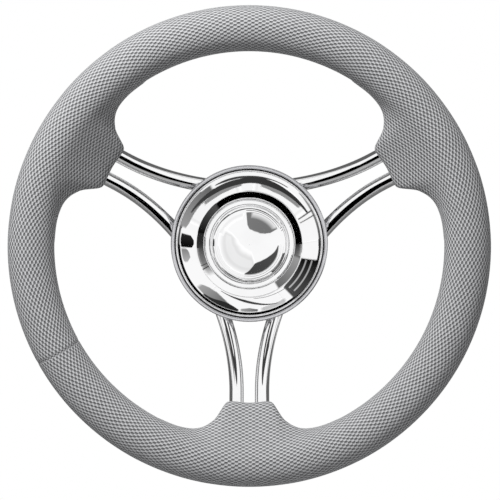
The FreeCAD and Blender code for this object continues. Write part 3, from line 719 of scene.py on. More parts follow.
@dataclass
class Grip:
    """Foam grip: a full ring with a bell-shaped neck over each pair of rods.

    Lengths are in millimetres, turns, spans and steps in degrees. Spans start at a neck's middle.

    Attributes:
        slim: How much thinner the ring is at the top.
        neck_half: Half of a neck's thickness.
        neck_line: How near the shaft axis the neck's edge comes, by degrees from its middle.
        plain_step: Step between sections on the plain ring. The next three are those on a neck, on its
            shoulder and at the seam.
        neck_span: Where the neck's closer sections end.
        shoulder: Where its shoulder's sections start and end.
        seam_span: How far from the seam its sections end.
        thin_span: Where the neck grows thinner, by the share in thinned.
        mouth_share: How far the mouth stands back from the neck's line, as a share of its half thickness.
        squatness: Depth of the mouth's round end, as a share of its half thickness.
        fullness: Power that squares the round end, 1 for an ellipse.
        shortfall: How far short of the ring's inside a neck may end and still be joined to it.
        settled: Where the easing of the sections fades out.
        straight: Where the grains turn from the neck's line to the ring's.
        grains_round: Grains along the ring.
        grains_across: Grains round the section.
    """

    route: RodRoute
    radius: float = 17.0
    outer_radius: float = 175.0
    slim: float = 0.5
    neck_half: float = 11.0
    neck_turns: tuple[float, float, float] = (-90.0, 30.0, 150.0)
    neck_line: tuple[Pair, ...] = (
        (0.0, 116.5), (2.5, 116.35), (4.7, 116.1), (6.8, 116.15), (8.0, 116.9), (8.8, 118.6), (9.4, 121.2),
        (10.1, 124.6), (10.9, 128.6), (12.1, 132.2), (13.4, 135.2), (15.1, 137.9), (17.0, 139.7),
        (18.8, 140.6), (20.6, 141.25), (22.4, 141.65), (24.2, 141.9), (26.0, 142.05), (28.0, 142.3),
        (30.0, 150.0),
    )
    plain_step: float = 0.9
    neck_step: float = 0.34
    shoulder_step: float = 0.16
    seam_step: float = 0.07
    neck_span: float = 26.0
    shoulder: Pair = (6.4, 11.5)
    seam_span: float = 0.6
    thin_span: Pair = (5.0, 22.0)
    thinned: float = 0.35
    mouth_share: float = 0.1
    squatness: float = 0.62
    fullness: float = 0.8
    shortfall: float = 1.0
    settled: Pair = (22.0, 30.0)
    settle_rounds: int = 10
    seam_turn: float = -151.4
    seam_half: float = 0.75
    seam_sharpness: float = 1.6
    seam_depth: float = 0.3
    straight: Pair = (11.0, 24.0)
    grains_round: float = 198.4
    grains_across: int = 37
    outline_points: int = 180
    face_steps: int = 50
    back_steps: int = 36

    def stations(self) -> np.ndarray:
        """Space the sections from the seam once round, closer on the necks.

        Returns:
            Each section's turn from the seam in degrees.
        """
        turns = [0.0]
        while turns[-1] < 360.0:
            here = turns[-1]
            off_neck = min(abs(off_by(here + self.seam_turn, neck)) for neck in self.neck_turns)
            step = self.plain_step
            if off_neck < self.neck_span:
                step = self.neck_step
            if self.shoulder[0] < off_neck < self.shoulder[1]:
                step = self.shoulder_step
            if min(here, 360.0 - here) < self.seam_span:
                step = min(step, self.seam_step)
            turns.append(here + step)
        turns = np.array(turns)
        return turns[:-1] * (360.0 / turns[-1])

    def section(self, off_neck: float, turn: float) -> tuple[np.ndarray, float]:
        """Outline one section of the grip, from its outermost point over the face and round the back.

        Args:
            off_neck: Degrees from the middle of the nearest neck.
            turn: The section's own turn in degrees, 90 at the top.

        Returns:
            The outline in (distance from the axis, height above the rim's middle), and the
            radius of the plain ring there.
        """
        lean = self.route.climb
        top = (0.5 + 0.5 * math.sin(math.radians(turn))) ** 2
        radius = self.radius - self.slim * top
        centre = self.outer_radius - radius
        angles = np.linspace(0.0, math.tau, self.outline_points, endpoint=False)
        cosine, sine = np.cos(angles), np.sin(angles)
        outline = np.stack([centre + radius * cosine, radius * sine], axis=1)
        spans, edges = zip(*self.neck_line)
        reach = float(np.interp(off_neck, spans, edges))
        plump = self.neck_half * (1 - smooth(off_neck, *self.thin_span) * self.thinned)
        tip = (centre - reach - self.mouth_share * plump) / math.cos(lean)
        if tip > radius - self.shortfall:
            squat = plump * self.squatness
            inward = np.array([-math.cos(lean), -math.sin(lean)])
            upward = np.array([-math.sin(lean), math.cos(lean)])
            middle = np.array([centre, 0.0]) + inward * (tip - squat)
            bow, rise = (np.sign(way) * np.abs(way) ** self.fullness for way in (cosine, sine))
            end = middle + inward * (squat * bow)[:, None] + upward * (plump * rise)[:, None]
            both = np.concatenate([outline, end])
            outline = both[convex_hull_2d([Vector(point) for point in both])]
        return self.even(outline, centre, lean), radius

    def even(self, outline: np.ndarray, centre: float, lean: float) -> np.ndarray:
        """Space a section's points evenly from its outermost point to its tip, over the face and the back.

        Args:
            outline: Closed outline.
            centre: Distance of the ring's middle from the axis.
            lean: The necks' lean in radians.

        Returns:
            The evenly spaced outline, anticlockwise, the face's points first.
        """
        if doubled_area(outline) < 0:
            outline = outline[::-1]
        start = int(np.argmax(outline[:, 0] - 1e-6 * np.abs(outline[:, 1])))
        outline = np.roll(outline, -start, axis=0)
        outline = np.concatenate([outline, outline[:1]])
        length = np.concatenate([[0.0], np.cumsum(np.linalg.norm(np.diff(outline, axis=0), axis=1))])
        beyond = -(outline[:, 0] - centre) * math.cos(lean) - outline[:, 1] * math.sin(lean)
        far = int(np.argmax(beyond))
        low, high = max(far - 1, 0), min(far + 1, len(beyond) - 1)
        curve = beyond[low] - 2 * beyond[far] + beyond[high]
        nudge = 0.0 if abs(curve) < 1e-9 else 0.5 * (beyond[low] - beyond[high]) / curve
        tip = length[far] + nudge * (length[high] - length[low]) / 2
        over_face = np.linspace(0.0, tip, self.face_steps, endpoint=False)
        over_back = np.linspace(tip, length[-1], self.back_steps, endpoint=False)
        wanted = np.concatenate([over_face, over_back])
        return np.stack([np.interp(wanted, length, outline[:, axis]) for axis in (0, 1)], axis=1)

    def build(self, finish: bpy.types.Material) -> None:
        """Loft the grip with its grain coordinates and its seam.

        Args:
            finish: The foam's material.
        """
        turns = self.stations() + self.seam_turn
        across = self.face_steps + self.back_steps
        grid = np.zeros((len(turns), across, 2))
        radii = np.zeros(len(turns))
        off_necks = np.array([min((off_by(turn, neck) for neck in self.neck_turns), key=abs)
                              for turn in turns])
        for number, turn in enumerate(turns):
            grid[number], radii[number] = self.section(abs(off_necks[number]), turn)
        grid = self.relaxed(grid, off_necks)
        height = self.route.rim_height + grid[:, :, 1]
        points = round_the_shaft(grid[:, :, 0], height, np.radians(turns)[:, None])
        points, seam = self.grooved(points, turns)
        piece = new_piece("grip_cover", points.reshape(-1, 3), ring_faces(len(turns), across), finish)
        self.add_grain(piece, grid, radii, turns, off_necks)
        marks = piece.data.attributes.new("seam", "FLOAT", "POINT")
        marks.data.foreach_set("value", np.repeat(seam, across).astype(np.float32))
        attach(piece, ROOT)
        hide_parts("rim_grip")
        piece.visible_glossy = False
        log.info("%s: %d sections of %d points", piece.name, len(turns), across)

    def relaxed(self, grid: np.ndarray, off_necks: np.ndarray) -> np.ndarray:
        """Let the sections run into each other on the necks, as moulded foam does.

        Args:
            grid: Section points.
            off_necks: Degrees of each section from the nearest neck's middle.

        Returns:
            The eased section points.
        """
        share = (0.5 * (1 - smooth(np.abs(off_necks), *self.settled)))[:, None, None]
        for _ in range(self.settle_rounds):
            eased = grid
            for axis in (0, 1):
                eased = 0.25 * (np.roll(eased, 1, axis=axis) + 2 * eased + np.roll(eased, -1, axis=axis))
            grid = grid * (1 - share) + eased * share
        return grid

    def grooved(self, points: np.ndarray, turns: np.ndarray) -> tuple[np.ndarray, np.ndarray]:
        """Press the seam's narrow groove into the grip.

        Args:
            points: Grip points in millimetres.
            turns: Each section's turn in degrees.

        Returns:
            The grooved points, and how deep in the seam each section lies, from 0 to 1.
        """
        middle = self.outer_radius - self.radius
        off = np.radians(off_by(turns, self.seam_turn)) * middle
        depth = np.exp(-((off / self.seam_half) ** 2) * self.seam_sharpness)
        core = round_the_shaft(middle, self.route.rim_height, np.radians(turns))[:, None, :]
        outward = points - core
        outward /= np.linalg.norm(outward, axis=2)[:, :, None]
        return points - outward * (self.seam_depth * depth)[:, None, None], depth

    def add_grain(self, piece: bpy.types.Object, grid: np.ndarray, radii: np.ndarray, turns: np.ndarray,
                  off_necks: np.ndarray) -> None:
        """Store where each point lies in the grain, so that the grains keep their size on the necks.

        Args:
            piece: The grip.
            grid: Section points.
            radii: Plain ring's radius at each section.
            turns: Each section's turn in degrees.
            off_necks: Degrees of each section from the nearest neck's middle.
        """
        rounds, across = grid.shape[:2]
        arc = np.linalg.norm(np.roll(grid, -1, axis=1) - grid, axis=2)
        pitch = math.tau * self.radius / self.grains_across
        scale = (self.radius / radii)[:, None]
        face = np.concatenate([np.zeros((rounds, 1)), np.cumsum(arc, axis=1)], axis=1) * scale / pitch
        back = face - face[:, -1:]
        straight = 1 - smooth(np.abs(off_necks), *self.straight)
        inward = 1 - np.clip(grid[:, :, 0] / (self.outer_radius - self.radius), 0.0, 1.0)
        run = (turns[:, None] - self.seam_turn) - off_necks[:, None] * (inward * straight[:, None])
        run = run * self.grains_round / 360.0
        run = np.concatenate([run, run[:1] + self.grains_round])
        values = np.zeros((rounds, across, 4, 2))
        for step in range(across):
            side = face if step < self.face_steps else back
            near, far = (np.concatenate([side[:, here], side[:1, here]]) for here in (step, step + 1))
            wrapped = (step + 1) % across
            corners = ((0, step, near), (0, wrapped, far), (1, wrapped, far), (1, step, near))
            for corner, (first, column, place) in enumerate(corners):
                rows = slice(first, first + rounds)
                values[:, step, corner] = np.stack([run[rows, column], place[rows]], axis=1)
        laid = values.reshape(-1, 4, 2)
        if [piece.data.loops[corner].vertex_index for corner in range(4)] == [across, across + 1, 1, 0]:
            laid = laid[:, ::-1]
        layer = piece.data.uv_layers.new(name="grain")
        layer.data.foreach_set("uv", laid.astype(np.float32).reshape(-1))


@dataclass
class HubFace:
    """Turned and pressed pieces that the driver sees: trim ring, dish, bezel and domed cap.

    Sizes are in millimetres. The bezel's rises are heights above the dish's floor, and those of the
    dome's edge, shoulder, crown and underside are above the bezel's shelf.
    """

    cup_top: float = 34.5
    cup_radius: float = 55.95
    outer: float = 58.25
    ring_inner: float = 55.55
    ring_play: float = 0.05
    ring_lap: float = 1.0
    ring_height: float = 3.8
    dish_radius: float = 54.75
    dish_sheet: float = 1.5
    band_outer: float = 53.5
    band_inner: float = 39.3
    band_foot: float = 37.4
    band_top: float = 42.4
    bead: float = 36.9
    recess: float = 33.4
    recess_foot: float = 39.1
    recess_sheet: float = 0.9
    dish_floor: float = 36.9
    hole: float = 18.75
    cap: float = 33.1
    cap_edge: float = 1.3
    bezel_bore: float = 27.95
    bezel_inner: float = 29.75
    foot_rise: float = 0.3
    shelf_rise: float = 2.6
    bezel_rise: float = 3.6
    groove: Pair = (29.675, 31.375)
    groove_depth: float = 1.35
    dome: float = 29.6
    dome_sheet: float = 1.4
    edge_rise: float = 1.2
    shoulder: float = 24.0
    shoulder_rise: float = 4.8
    crown_rise: float = 7.2
    under_rises: Pair = (3.6, 5.8)
    pinhole: float = 0.02

    def build(self, mirror: bpy.types.Material, trim: bpy.types.Material) -> None:
        """Turn the hub's face, seat each piece in its solid's place and report it.

        Args:
            mirror: Polished finish.
            trim: Finish of the trim ring.
        """
        for name, node, slot, finish, profile in (
            ("trim_ring", "hub_ring", "satin_steel", trim, self.ring_profile()),
            ("dish_shell", "hub_dish", "polished_steel", mirror, self.dish_profile()),
            ("bezel_ring", "cap_bezel", "polished_steel", mirror, self.bezel_profile()),
            ("dome_shell", "cap_dome", "polished_steel", mirror, self.dome_profile()),
        ):
            piece = profile.turned(name, finish)
            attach(piece, ROOT)
            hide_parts(node)
            log.info("%s: %d faces", name, len(piece.data.polygons))

    def ring_profile(self) -> Profile:
        """Outline the trim ring that laps the cup's rim.

        Returns:
            The outline.
        """
        foot, top = self.cup_top - self.ring_lap, self.cup_top + self.ring_height
        half = (self.outer - self.ring_inner) / 2
        return Profile([
            (self.cup_radius + self.ring_play, foot),
            (self.outer - half / 2, foot),
            (self.outer, foot + half / 2),
            (self.outer, top - half),
            (self.outer - half, top, -0.4 * half),
            (self.ring_inner, top - half, -0.4 * half),
            (self.ring_inner, self.cup_top),
            (self.cup_radius + self.ring_play, self.cup_top),
        ], 0.1)

    def dish_profile(self) -> Profile:
        """Outline the pressed dish: underside from the hole to the rim, then the face back to the hole.

        Returns:
            The outline.
        """
        sheet = self.dish_sheet
        return Profile([
            (self.hole, self.dish_floor - sheet),
            (self.recess + self.recess_sheet, self.dish_floor - sheet),
            (self.recess + self.recess_sheet, self.recess_foot - sheet * 0.6),
            (self.band_inner + sheet / 3, self.band_top - sheet),
            (self.band_outer - sheet / 3, self.band_foot - sheet, 0.6),
            (self.dish_radius - sheet, self.cup_top),
            (self.dish_radius, self.cup_top),
            (self.dish_radius, self.bead),
            (self.band_outer, self.bead, -0.55),
            (self.band_outer, self.band_foot),
            (self.band_inner, self.band_top, -0.6),
            (self.recess, self.recess_foot),
            (self.recess, self.dish_floor),
            (self.hole, self.dish_floor),
        ], 0.16)

    def bezel_profile(self) -> Profile:
        """Outline the bezel, with the groove for its seal and the shelf for the dome.

        Returns:
            The outline.
        """
        rises = (self.foot_rise, self.shelf_rise, self.bezel_rise)
        foot, shelf, top = (self.dish_floor + rise for rise in rises)
        inner, outer = self.groove
        roof = foot + self.groove_depth
        return Profile([
            (self.bezel_bore, foot), (inner, foot), (inner, roof), (outer, roof), (outer, foot),
            (self.cap, foot), (self.cap, top - self.cap_edge), (self.cap - self.cap_edge, top, -0.54),
            (self.bezel_inner, top), (self.bezel_inner, shelf), (self.bezel_bore, shelf),
        ], 0.12)

    def dome_profile(self) -> Profile:
        """Outline the domed cap, closed by a pinhole at its middle that the softening hides.

        Returns:
            The outline.
        """
        shelf = self.dish_floor + self.shelf_rise
        under_shoulder, under_crown = self.under_rises
        return Profile([
            (self.pinhole, shelf + under_crown),
            (self.shoulder - self.dome_sheet / 2, shelf + under_shoulder, 1.1),
            (self.dome - self.dome_sheet, shelf, 1.0),
            (self.dome, shelf),
            (self.dome, shelf + self.edge_rise),
            (self.shoulder, shelf + self.shoulder_rise, -1.15),
            (self.pinhole, shelf + self.crown_rise, -0.6),
        ], 0.2)


@dataclass
class HiddenWorks:
    """Solids that stay as they are and only get their finish."""

    finishes: dict[str, Any] = field(default_factory=dict)

    def dress(self, nodes: dict[str, bpy.types.Object]) -> None:
        """Give each carried-over solid its finish.

        Args:
            nodes: The frame's solids by name.
        """
        for name, finish in self.finishes.items():
            made = finish.make()
            piece = nodes[name]
            for slot in piece.material_slots:
                slot.material = made
            log.info("%s: %s", name, made.name)


# Tones of a card as the top, left and right rods see it
ALL_LIT = (1.0, 1.0, 1.0)
ALL_DARK = (0.0, 0.0, 0.0)
TOP_GREY = (0.4, 0.0, 0.0)
LOWER_DARK = (1.0, 0.05, 0.05)
STUDIO_CARDS = (
    StudioCard("card_top_curve", (
        (296, 47, 50), (310, 42, 49), (325, 38, 48), (340, 37, 48.5), (352, 37.5, 49), (360, 38.5, 51),
        (372, 38.5, 51.5), (384, 38, 50), (398, 39.5, 48.5), (412, 42.5, 49), (424, 46, 50.5),
    ), (0.05, 0.03), rods=LOWER_DARK),
    StudioCard("card_top_outer_curve", (
        (328, 50.5, 53), (338, 48.5, 54), (348, 48.5, 54), (360, 49, 53.5), (372, 50, 54), (384, 51, 54),
        (396, 51.5, 54),
    ), (0.05, 0.06), rods=ALL_LIT),
    StudioCard("card_top_left_veil", ((310, 34, 41), (322, 31, 41), (338, 31, 41), (354, 34, 41)),
               (0.3, 0.3), 2.0, LOWER_DARK),
    StudioCard("card_top_right_veil", ((370, 34, 42), (384, 31, 42), (402, 33, 42), (416, 37, 44)),
               (0.3, 0.3), 2.0, LOWER_DARK),
    StudioCard("card_right_line", ((62.5, 27, 58), (64.5, 26, 58)), (0.03, 0.03), 0.6, ALL_LIT),
    StudioCard("card_right_line_low", ((67, 26, 58), (68.6, 27, 58)), (0.06, 0.06), 0.6, ALL_LIT),
    StudioCard("card_right_stripe_light", ((106, 44, 47.5), (138, 44, 47.5)), (0.35, 0.5), 0.6, ALL_DARK),
    StudioCard("card_right_stripe_light_low", ((106, 33, 36.5), (139, 33, 36.5)), (0.35, 0.5), 0.6,
               ALL_DARK),
    StudioCard("card_right_stripes", ((104.5, 24, 60), (122, 24, 60), (138, 25, 58), (143, 27, 56)),
               (0.0, 0.08), rods=ALL_DARK),
    StudioCard("card_lower_curve", (
        (154, 47, 48.5), (165, 40, 44), (175, 33, 38.5), (184, 28.5, 34.5), (193, 26.5, 31),
        (203, 25.8, 28.5), (212, 25.5, 27),
    ), (0.05, 0.03), rods=TOP_GREY),
    StudioCard("card_lower_line", ((140, 30, 31.5), (158, 27.5, 29), (176, 25.5, 27)), (0.05, 0.05), 0.6,
               ALL_DARK),
    StudioCard("card_bottom_grey", ((172, 48, 53), (180, 44, 53), (188, 47, 53)), (0.12, 0.4),
               rods=TOP_GREY),
    StudioCard("card_lower_left_blob", (
        (188, 50, 54), (194, 44, 54), (200, 41, 54), (206, 42.5, 54), (213, 47, 54), (222, 50, 54),
    ), (0.02, 0.03), rods=TOP_GREY),
    StudioCard("card_lower_left_pale", (
        (197, 42, 50), (205, 35, 53), (213, 31, 53), (222, 33, 53), (231, 41, 52),
    ), (0.12, 0.4), 3.0, ALL_DARK),
    StudioCard("card_left_black", ((265, 33, 52), (268, 27, 54), (274, 28, 54), (278, 36, 53)),
               (0.0, 0.02), 0.8, (0.0, 1.0, 1.0)),
    StudioCard("card_left_grey", ((251, 46, 51), (256, 36, 53), (262, 37, 53), (266, 44, 53)),
               (0.5, 0.2), 2.0, ALL_DARK),
    StudioCard("card_upper_left", (
        (281, 47, 60), (288, 42, 60), (298, 41, 60), (310, 40, 59), (327, 42, 58),
    ), (0.35, 0.13), 2.2, (1.0, 0.3, 1.0)),
    StudioCard("card_below_top_rod", ((150, 53.5, 60), (190, 53.5, 59.5), (218, 53.5, 60)), (0.0, 0.0), 0.8,
               TOP_GREY),
    StudioCard("card_below_black", (
        (106, 53.5, 61), (134, 53.5, 61.5), (148, 53.5, 60), (190, 53.5, 59.5), (226, 53.5, 60),
        (238, 53.5, 61.5), (268, 53.5, 61.5),
    ), (0.0, 0.0), 0.8),
    StudioCard("card_left_recess", ((264, 54, 61.5), (290, 54.5, 61.5), (316, 56.5, 60)), (0.0, 0.35), 2.0,
               ALL_LIT),
    StudioCard("card_right_recess", ((44, 57, 60), (56, 55, 61.5), (70, 54, 61.5), (94, 54, 61.5)),
               (0.4, 0.02), 2.0, ALL_LIT),
    StudioCard("card_right_recess_low", ((88, 54, 61.5), (109, 54, 61.5)), (0.03, 0.02),
               rods=(0.0, 1.0, 0.4)),
    StudioCard("card_below_inner", ((146, 44, 54.5), (172, 44, 54.5)), (0.58, 0.58), 3.0, TOP_GREY),
    StudioCard("card_rods_right_high", ((88, 22, 62), (108, 22, 62)), (1.0, 1.0), rods=(0.0, 1.0, 0.4)),
    StudioCard("card_rods_right", ((106, 22, 63), (151, 22, 63)), (1.0, 1.0), rods=ALL_DARK),
    StudioCard("card_rods_below", ((149, 22, 62), (219, 22, 62)), (1.0, 1.0), rods=TOP_GREY),
    StudioCard("card_rods_left", ((217, 22, 63), (268, 22, 63)), (1.0, 1.0), rods=ALL_DARK),
    StudioCard("card_rods_upper_left", ((288, 20, 46), (352, 20, 46)), (1.0, 1.0), 4.0, (1.0, 0.05, 1.0)),
    StudioCard("card_rods_upper_right", ((3, 20, 50), (62, 20, 50)), (1.0, 1.0), 4.0, (1.0, 1.0, 0.08)),
    StudioCard("card_below_light", ((120, 61, 74), (180, 61, 74), (240, 61, 74)), (0.45, 0.45), 2.0),
    StudioCard("card_below_middle", ((112, 73, 86), (248, 73, 86)), (0.22, 0.22), 2.0),
    StudioCard("card_below_back", ((108, 85, 150), (252, 85, 150)), (0.17, 0.17), 3.0),
    StudioCard("card_behind", ((-110, 93, 150), (-60, 82, 140), (0, 92, 150), (60, 82, 140), (110, 93, 150)),
               (0.12, 0.12), 3.0),
    StudioCard("card_dome_grey", (
        (-6, 15, 25), (0, 11.5, 25), (20, 10.5, 25), (44, 11.5, 25), (55, 14, 25), (62, 18, 25),
    ), (0.2, 0.18), 0.8),
    StudioCard("card_dome_dark", (
        (92, 21.3, 22.3), (105, 19.5, 22.5), (120, 17, 23), (138, 15, 23), (155, 14.2, 23), (164, 14.4, 23),
        (174, 17, 23), (183, 20, 23.4), (190, 22, 23.4),
    ), (0.08, 0.05), 0.6),
    StudioCard("card_dome_pale", ((160, 5, 25), (200, 3, 25), (260, 4, 25), (305, 10, 25)),
               (0.86, 0.9), 8.0),
)


@dataclass
class Studio:
    """Camera at the photograph's angle, soft light, pale floor and cards for the polished metal.

    The camera's and the floor's lengths are in millimetres, the lamp's and the cards' in metres.

    Attributes:
        tilt: How far above the shaft axis the camera stands, in degrees.
        distance: Camera's distance from the rim's middle.
        half_width: Half of the photograph's width in pixels.
        pixel: Size of one of its pixels at the wheel.
        aim_across: How far to the right of the rim's middle the camera aims.
        aim_down: How far below it the camera aims.
        lamp_power: The lamp's power in watts.
        hub_middle: Where the cards are measured from.
        card_reach: Distance of the nearest card from there.
        card_gap: Gap between one card and the next.
        sheet_gap: Gap between a card and the clear sheets before it.
        card_grid: About how many degrees lie between a card's points.
        end_border: Width of a card's faded ends as a multiple of its faded sides.
        most_border: Largest share of a card that one border takes.
        air_light: Strength of the soft light from below and from above.
        wheel: Names of the wheel's pieces.
    """

    tilt: float = 4.6
    distance: float = 1650.0
    rim_height: float = 77.0
    half_width: float = 250.0
    pixel: float = 0.7243
    aim_across: float = 0.5
    aim_down: float = 1.4
    floor_height: float = -1250.0
    floor_radius: float = 1300.0
    floor_sides: int = 96
    lamp_place: Spot = (-0.57, -1.0, 1.16)
    lamp_size: Pair = (0.6, 0.45)
    lamp_target: Spot = (0.0, -0.06, 0.0)
    lamp_power: float = 34.0
    hub_middle: Spot = (0.0, -0.04, 0.0)
    card_reach: float = 1.05
    card_gap: float = 0.005
    sheet_gap: float = 0.001
    card_grid: float = 3.0
    end_border: float = 1.5
    most_border: float = 0.4
    air_light: Pair = (0.11, 0.75)
    wheel: list[str] = field(default_factory=list)

    def build(self) -> None:
        """Set the whole studio up round the finished wheel."""
        self.wheel = [piece.name for piece in bpy.data.objects if piece.type == "MESH"]
        self.place_camera()
        self.hang_lamp()
        self.lay_floor()
        face = CardFace().make()
        for number, card in enumerate(STUDIO_CARDS):
            self.hang(card, self.card_reach + self.card_gap * number, face)
        self.set_world()
        bpy.context.scene.view_settings.view_transform = "Standard"

    def place_camera(self) -> None:
        """Stand the camera slightly above the shaft axis, facing the wheel."""
        camera = bpy.data.cameras.new("camera")
        camera.angle = 2 * math.atan(self.half_width * self.pixel / self.distance)
        camera.clip_end = 20.0
        holder = bpy.data.objects.new("camera", camera)
        bpy.context.scene.collection.objects.link(holder)
        angle = math.radians(self.tilt)
        middle = Vector((0.0, -mm(self.rim_height), 0.0))
        away = Vector((0.0, -math.cos(angle), math.sin(angle)))
        upward = Vector((0.0, math.sin(angle), math.cos(angle)))
        aim = middle + Vector((1.0, 0.0, 0.0)) * mm(self.aim_across) - upward * mm(self.aim_down)
        holder.location = middle + away * mm(self.distance)
        holder.rotation_euler = (aim - holder.location).to_track_quat("-Z", "Y").to_euler()
        bpy.context.scene.camera = holder

    def hang_lamp(self) -> None:
        """Hang the soft rectangular lamp above at the left, where the polished metal doesn't see it."""
        data = bpy.data.lights.new("lamp_above_left", "AREA")
        data.shape = "RECTANGLE"
        data.size, data.size_y = self.lamp_size
        data.energy = self.lamp_power
        lamp = bpy.data.objects.new("lamp_above_left", data)
        lamp.location = self.lamp_place
        lamp.rotation_euler = (Vector(self.lamp_target) - lamp.location).to_track_quat("-Z", "Y").to_euler()
        lamp.visible_glossy = False
        bpy.context.scene.collection.objects.link(lamp)

    def lay_floor(self) -> None:
        """Lay the round floor well below the wheel."""
        angles = np.linspace(0.0, math.tau, self.floor_sides, endpoint=False)
        edge = np.stack([self.floor_radius * np.cos(angles), self.floor_radius * np.sin(angles),
                         np.full(self.floor_sides, self.floor_height)], axis=1)
        floor = new_piece("floor", edge, [tuple(range(self.floor_sides))], PaleFloor().make())

    def toward(self, bearing: float, lean: float, reach: float) -> Spot:
        """Find a point out from the hub, round the line that the hub's flat faces mirror the view along.

        Args:
            bearing: Degrees round that line, clockwise from the top as the driver sees it.
            lean: Degrees off that line.
            reach: Distance from the hub in metres.

        Returns:
            The point in metres.
        """
        angle, around, off = (math.radians(value) for value in (self.tilt, bearing, lean))
        away = Vector((0.0, -math.cos(angle), -math.sin(angle)))
        upward = Vector((0.0, -math.sin(angle), math.cos(angle)))
        sideways = Vector((math.sin(around), 0.0, 0.0)) + upward * math.cos(around)
        return tuple(Vector(self.hub_middle) + (away * math.cos(off) + sideways * math.sin(off)) * reach)

    def hang(self, card: StudioCard, reach: float, finish: bpy.types.Material) -> None:
        """Hang a card, and before it a clear sheet of light for whoever sees it brighter than the others.

        Args:
            card: What the card covers and how bright it is.
            reach: Its distance from the hub in metres.
            finish: The cards' material.
        """
        if card.rods is None:
            self.sheet(card, card.name, card.shades, reach, finish)
            return
        low = min(*card.shades, *card.rods)
        self.sheet(card, card.name, (low, low), reach, finish)
        rods = [f"rod_{side}" for side in ROD_TURNS]
        others = [piece for piece in self.wheel if piece not in rods]
        views = [("light", "all_but_rods", others, card.shades)]
        views += [(rod, f"{rod}_alone", [rod], (tone, tone)) for rod, tone in zip(rods, card.rods)]
        for number, (ending, group, pieces, shades) in enumerate(views, start=1):
            if max(shades) > low:
                light = self.sheet(card, f"{card.name}_{ending}", (shades[0] - low, shades[1] - low),
                                   reach - self.sheet_gap * number, finish, clear=True)
                self.limit(light, group, pieces)

    def limit(self, light: bpy.types.Object, name: str, pieces: Sequence[str]) -> None:
        """Let a sheet's light reach only some pieces.

        Args:
            light: The sheet.
            name: Name of the group of pieces.
            pieces: The pieces' names.
        """
        group = bpy.data.collections.get(name)
        if group is None:
            group = bpy.data.collections.new(name)
            for piece in pieces:
                group.objects.link(bpy.data.objects[piece])
        light.light_linking.receiver_collection = group

    def sheet(self, card: StudioCard, name: str, shades: Pair, reach: float, finish: bpy.types.Material,
              clear: bool = False) -> bpy.types.Object:
        """Hang one sheet of a card, which only polished metal sees.

        Args:
            card: What the sheet covers.
            name: The sheet's name.
            shades: Its brightness at both ends.
            reach: Its distance from the hub in metres.
            finish: The cards' material.
            clear: Whether what is behind it shows through.

        Returns:
            The sheet.
        """
        bearings, near, far = np.array(card.edges, float).T
        first, last = bearings[0], bearings[-1]
        border = min(self.end_border * card.soft, self.most_border * (last - first))
        inside = np.linspace(first + border, last - border, max(2, round((last - first) / self.card_grid)))
        turns = np.concatenate([[first], inside, [last]])
        low, high = np.interp(turns, bearings, near), np.interp(turns, bearings, far)
        soft = np.minimum(card.soft, self.most_border * (high - low))
        shares = np.linspace(0.0, 1.0, max(2, round(float(np.max(high - low)) / self.card_grid)))
        rows = [low, *(low + soft + (high - low - 2 * soft) * share for share in shares), high]
        points = [self.toward(turn, lean, reach) for row in rows for turn, lean in zip(turns, row)]
        count = len(turns)
        faces = [(start, start + 1, start + count + 1, start + count)
                 for row in range(len(rows) - 1) for start in range(row * count, row * count + count - 1)]
        made = new_piece(name, np.array(points) * 1000.0, faces, finish)
        cover = np.zeros((len(rows), count), np.float32)
        cover[1:-1, 1:-1] = 1.0
        glow = cover * np.interp(turns, (first, last), shades).astype(np.float32)
        hides = np.zeros_like(cover) if clear else cover
        for kept, values in (("glow", glow), ("hides", hides)):
            made.data.attributes.new(kept, "FLOAT", "POINT").data.foreach_set("value", values.ravel())
        made.visible_camera = False
        made.visible_diffuse = False
        made.visible_shadow = False
        made.visible_transmission = False
        return made

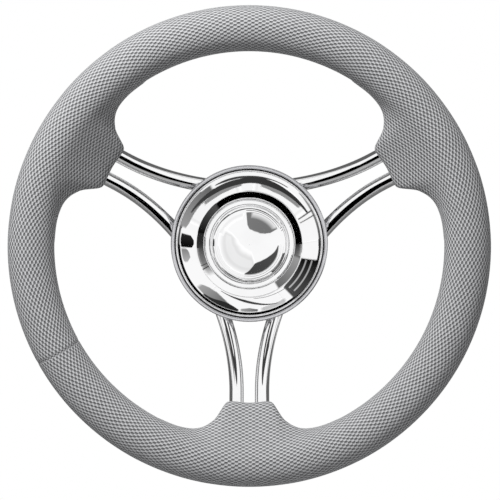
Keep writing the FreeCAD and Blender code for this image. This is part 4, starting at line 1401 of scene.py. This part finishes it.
    def set_world(self) -> None:
        """Show white to the camera and the metal, and light the wheel softly from above."""
        world = bpy.data.worlds.new("studio_air")
        world.use_nodes = True
        bpy.context.scene.world = world
        air = Nodes(world.node_tree)
        view = air.node("ShaderNodeTexCoord").outputs["Generated"]
        rise = air.node("ShaderNodeSeparateXYZ", {0: view}).outputs[2]
        below, above = self.air_light
        strength = air.node("ShaderNodeMapRange", {0: rise, 1: -1.0, 2: 1.0, 3: below, 4: above})
        soft = air.node("ShaderNodeBackground", {"Strength": strength.outputs[0]}).outputs[0]
        white = air.node("ShaderNodeBackground", {"Color": (1.0, 1.0, 1.0)}).outputs[0]
        rays = air.node("ShaderNodeLightPath").outputs
        seen = air.math("MAXIMUM", rays["Is Camera Ray"], rays["Is Glossy Ray"])
        seen = air.math("MAXIMUM", seen, rays["Is Transmission Ray"])
        mixed = air.node("ShaderNodeMixShader", {0: seen, 1: soft, 2: white}).outputs[0]
        air.node("ShaderNodeOutputWorld", {"Surface": mixed})


def main() -> None:
    """Build the wheel's pieces in order, dress them and set the studio up."""
    logging.basicConfig(level=logging.INFO, format="%(message)s")
    route = RodRoute()
    mirror = PolishedSteel().make()
    Grip(route).build(GripFoam().make())
    Spokes(route).build(mirror)
    HubFace().build(mirror, PolishedSteel("trim_ring_steel", (0.62, 0.62, 0.64), 0.12, 0.08).make())
    HiddenWorks({
        "hub_cup": PolishedSteel("polished_cup_steel", (0.84, 0.84, 0.85), 0.06, 0.06),
        "hub_boss": SatinSteel("turned_boss_steel", (0.6, 0.6, 0.61), 0.24),
        "rim_core_ring": SatinSteel("drawn_inner_steel", (0.5, 0.5, 0.51), 0.3, LineWay.ALONG_THE_PIECE),
        "rod_saddles": SatinSteel("saddle_steel", (0.48, 0.48, 0.49), 0.36, LineWay.ALONG_THE_PIECE),
        "dish_posts": SatinSteel("post_steel", (0.52, 0.52, 0.53), 0.3, LineWay.ALONG_THE_PIECE),
        "dish_screws": SatinSteel("screw_steel", (0.58, 0.58, 0.6), 0.22, LineWay.ALONG_THE_PIECE),
        "screw_washers": SatinSteel("washer_steel", (0.56, 0.56, 0.57), 0.26, LineWay.ALONG_THE_PIECE),
        "dish_seal": BlackMoulding("seal_rubber", (0.012, 0.012, 0.013), 0.62),
        "cap_seal": BlackMoulding("cap_seal_rubber", (0.012, 0.012, 0.013), 0.55),
        "cap_body": BlackMoulding("carrier_plastic", (0.02, 0.02, 0.022), 0.42, 0.012),
    }).dress(frame["nodes"])
    Studio().build()


if __name__ == "__main__":
    main()
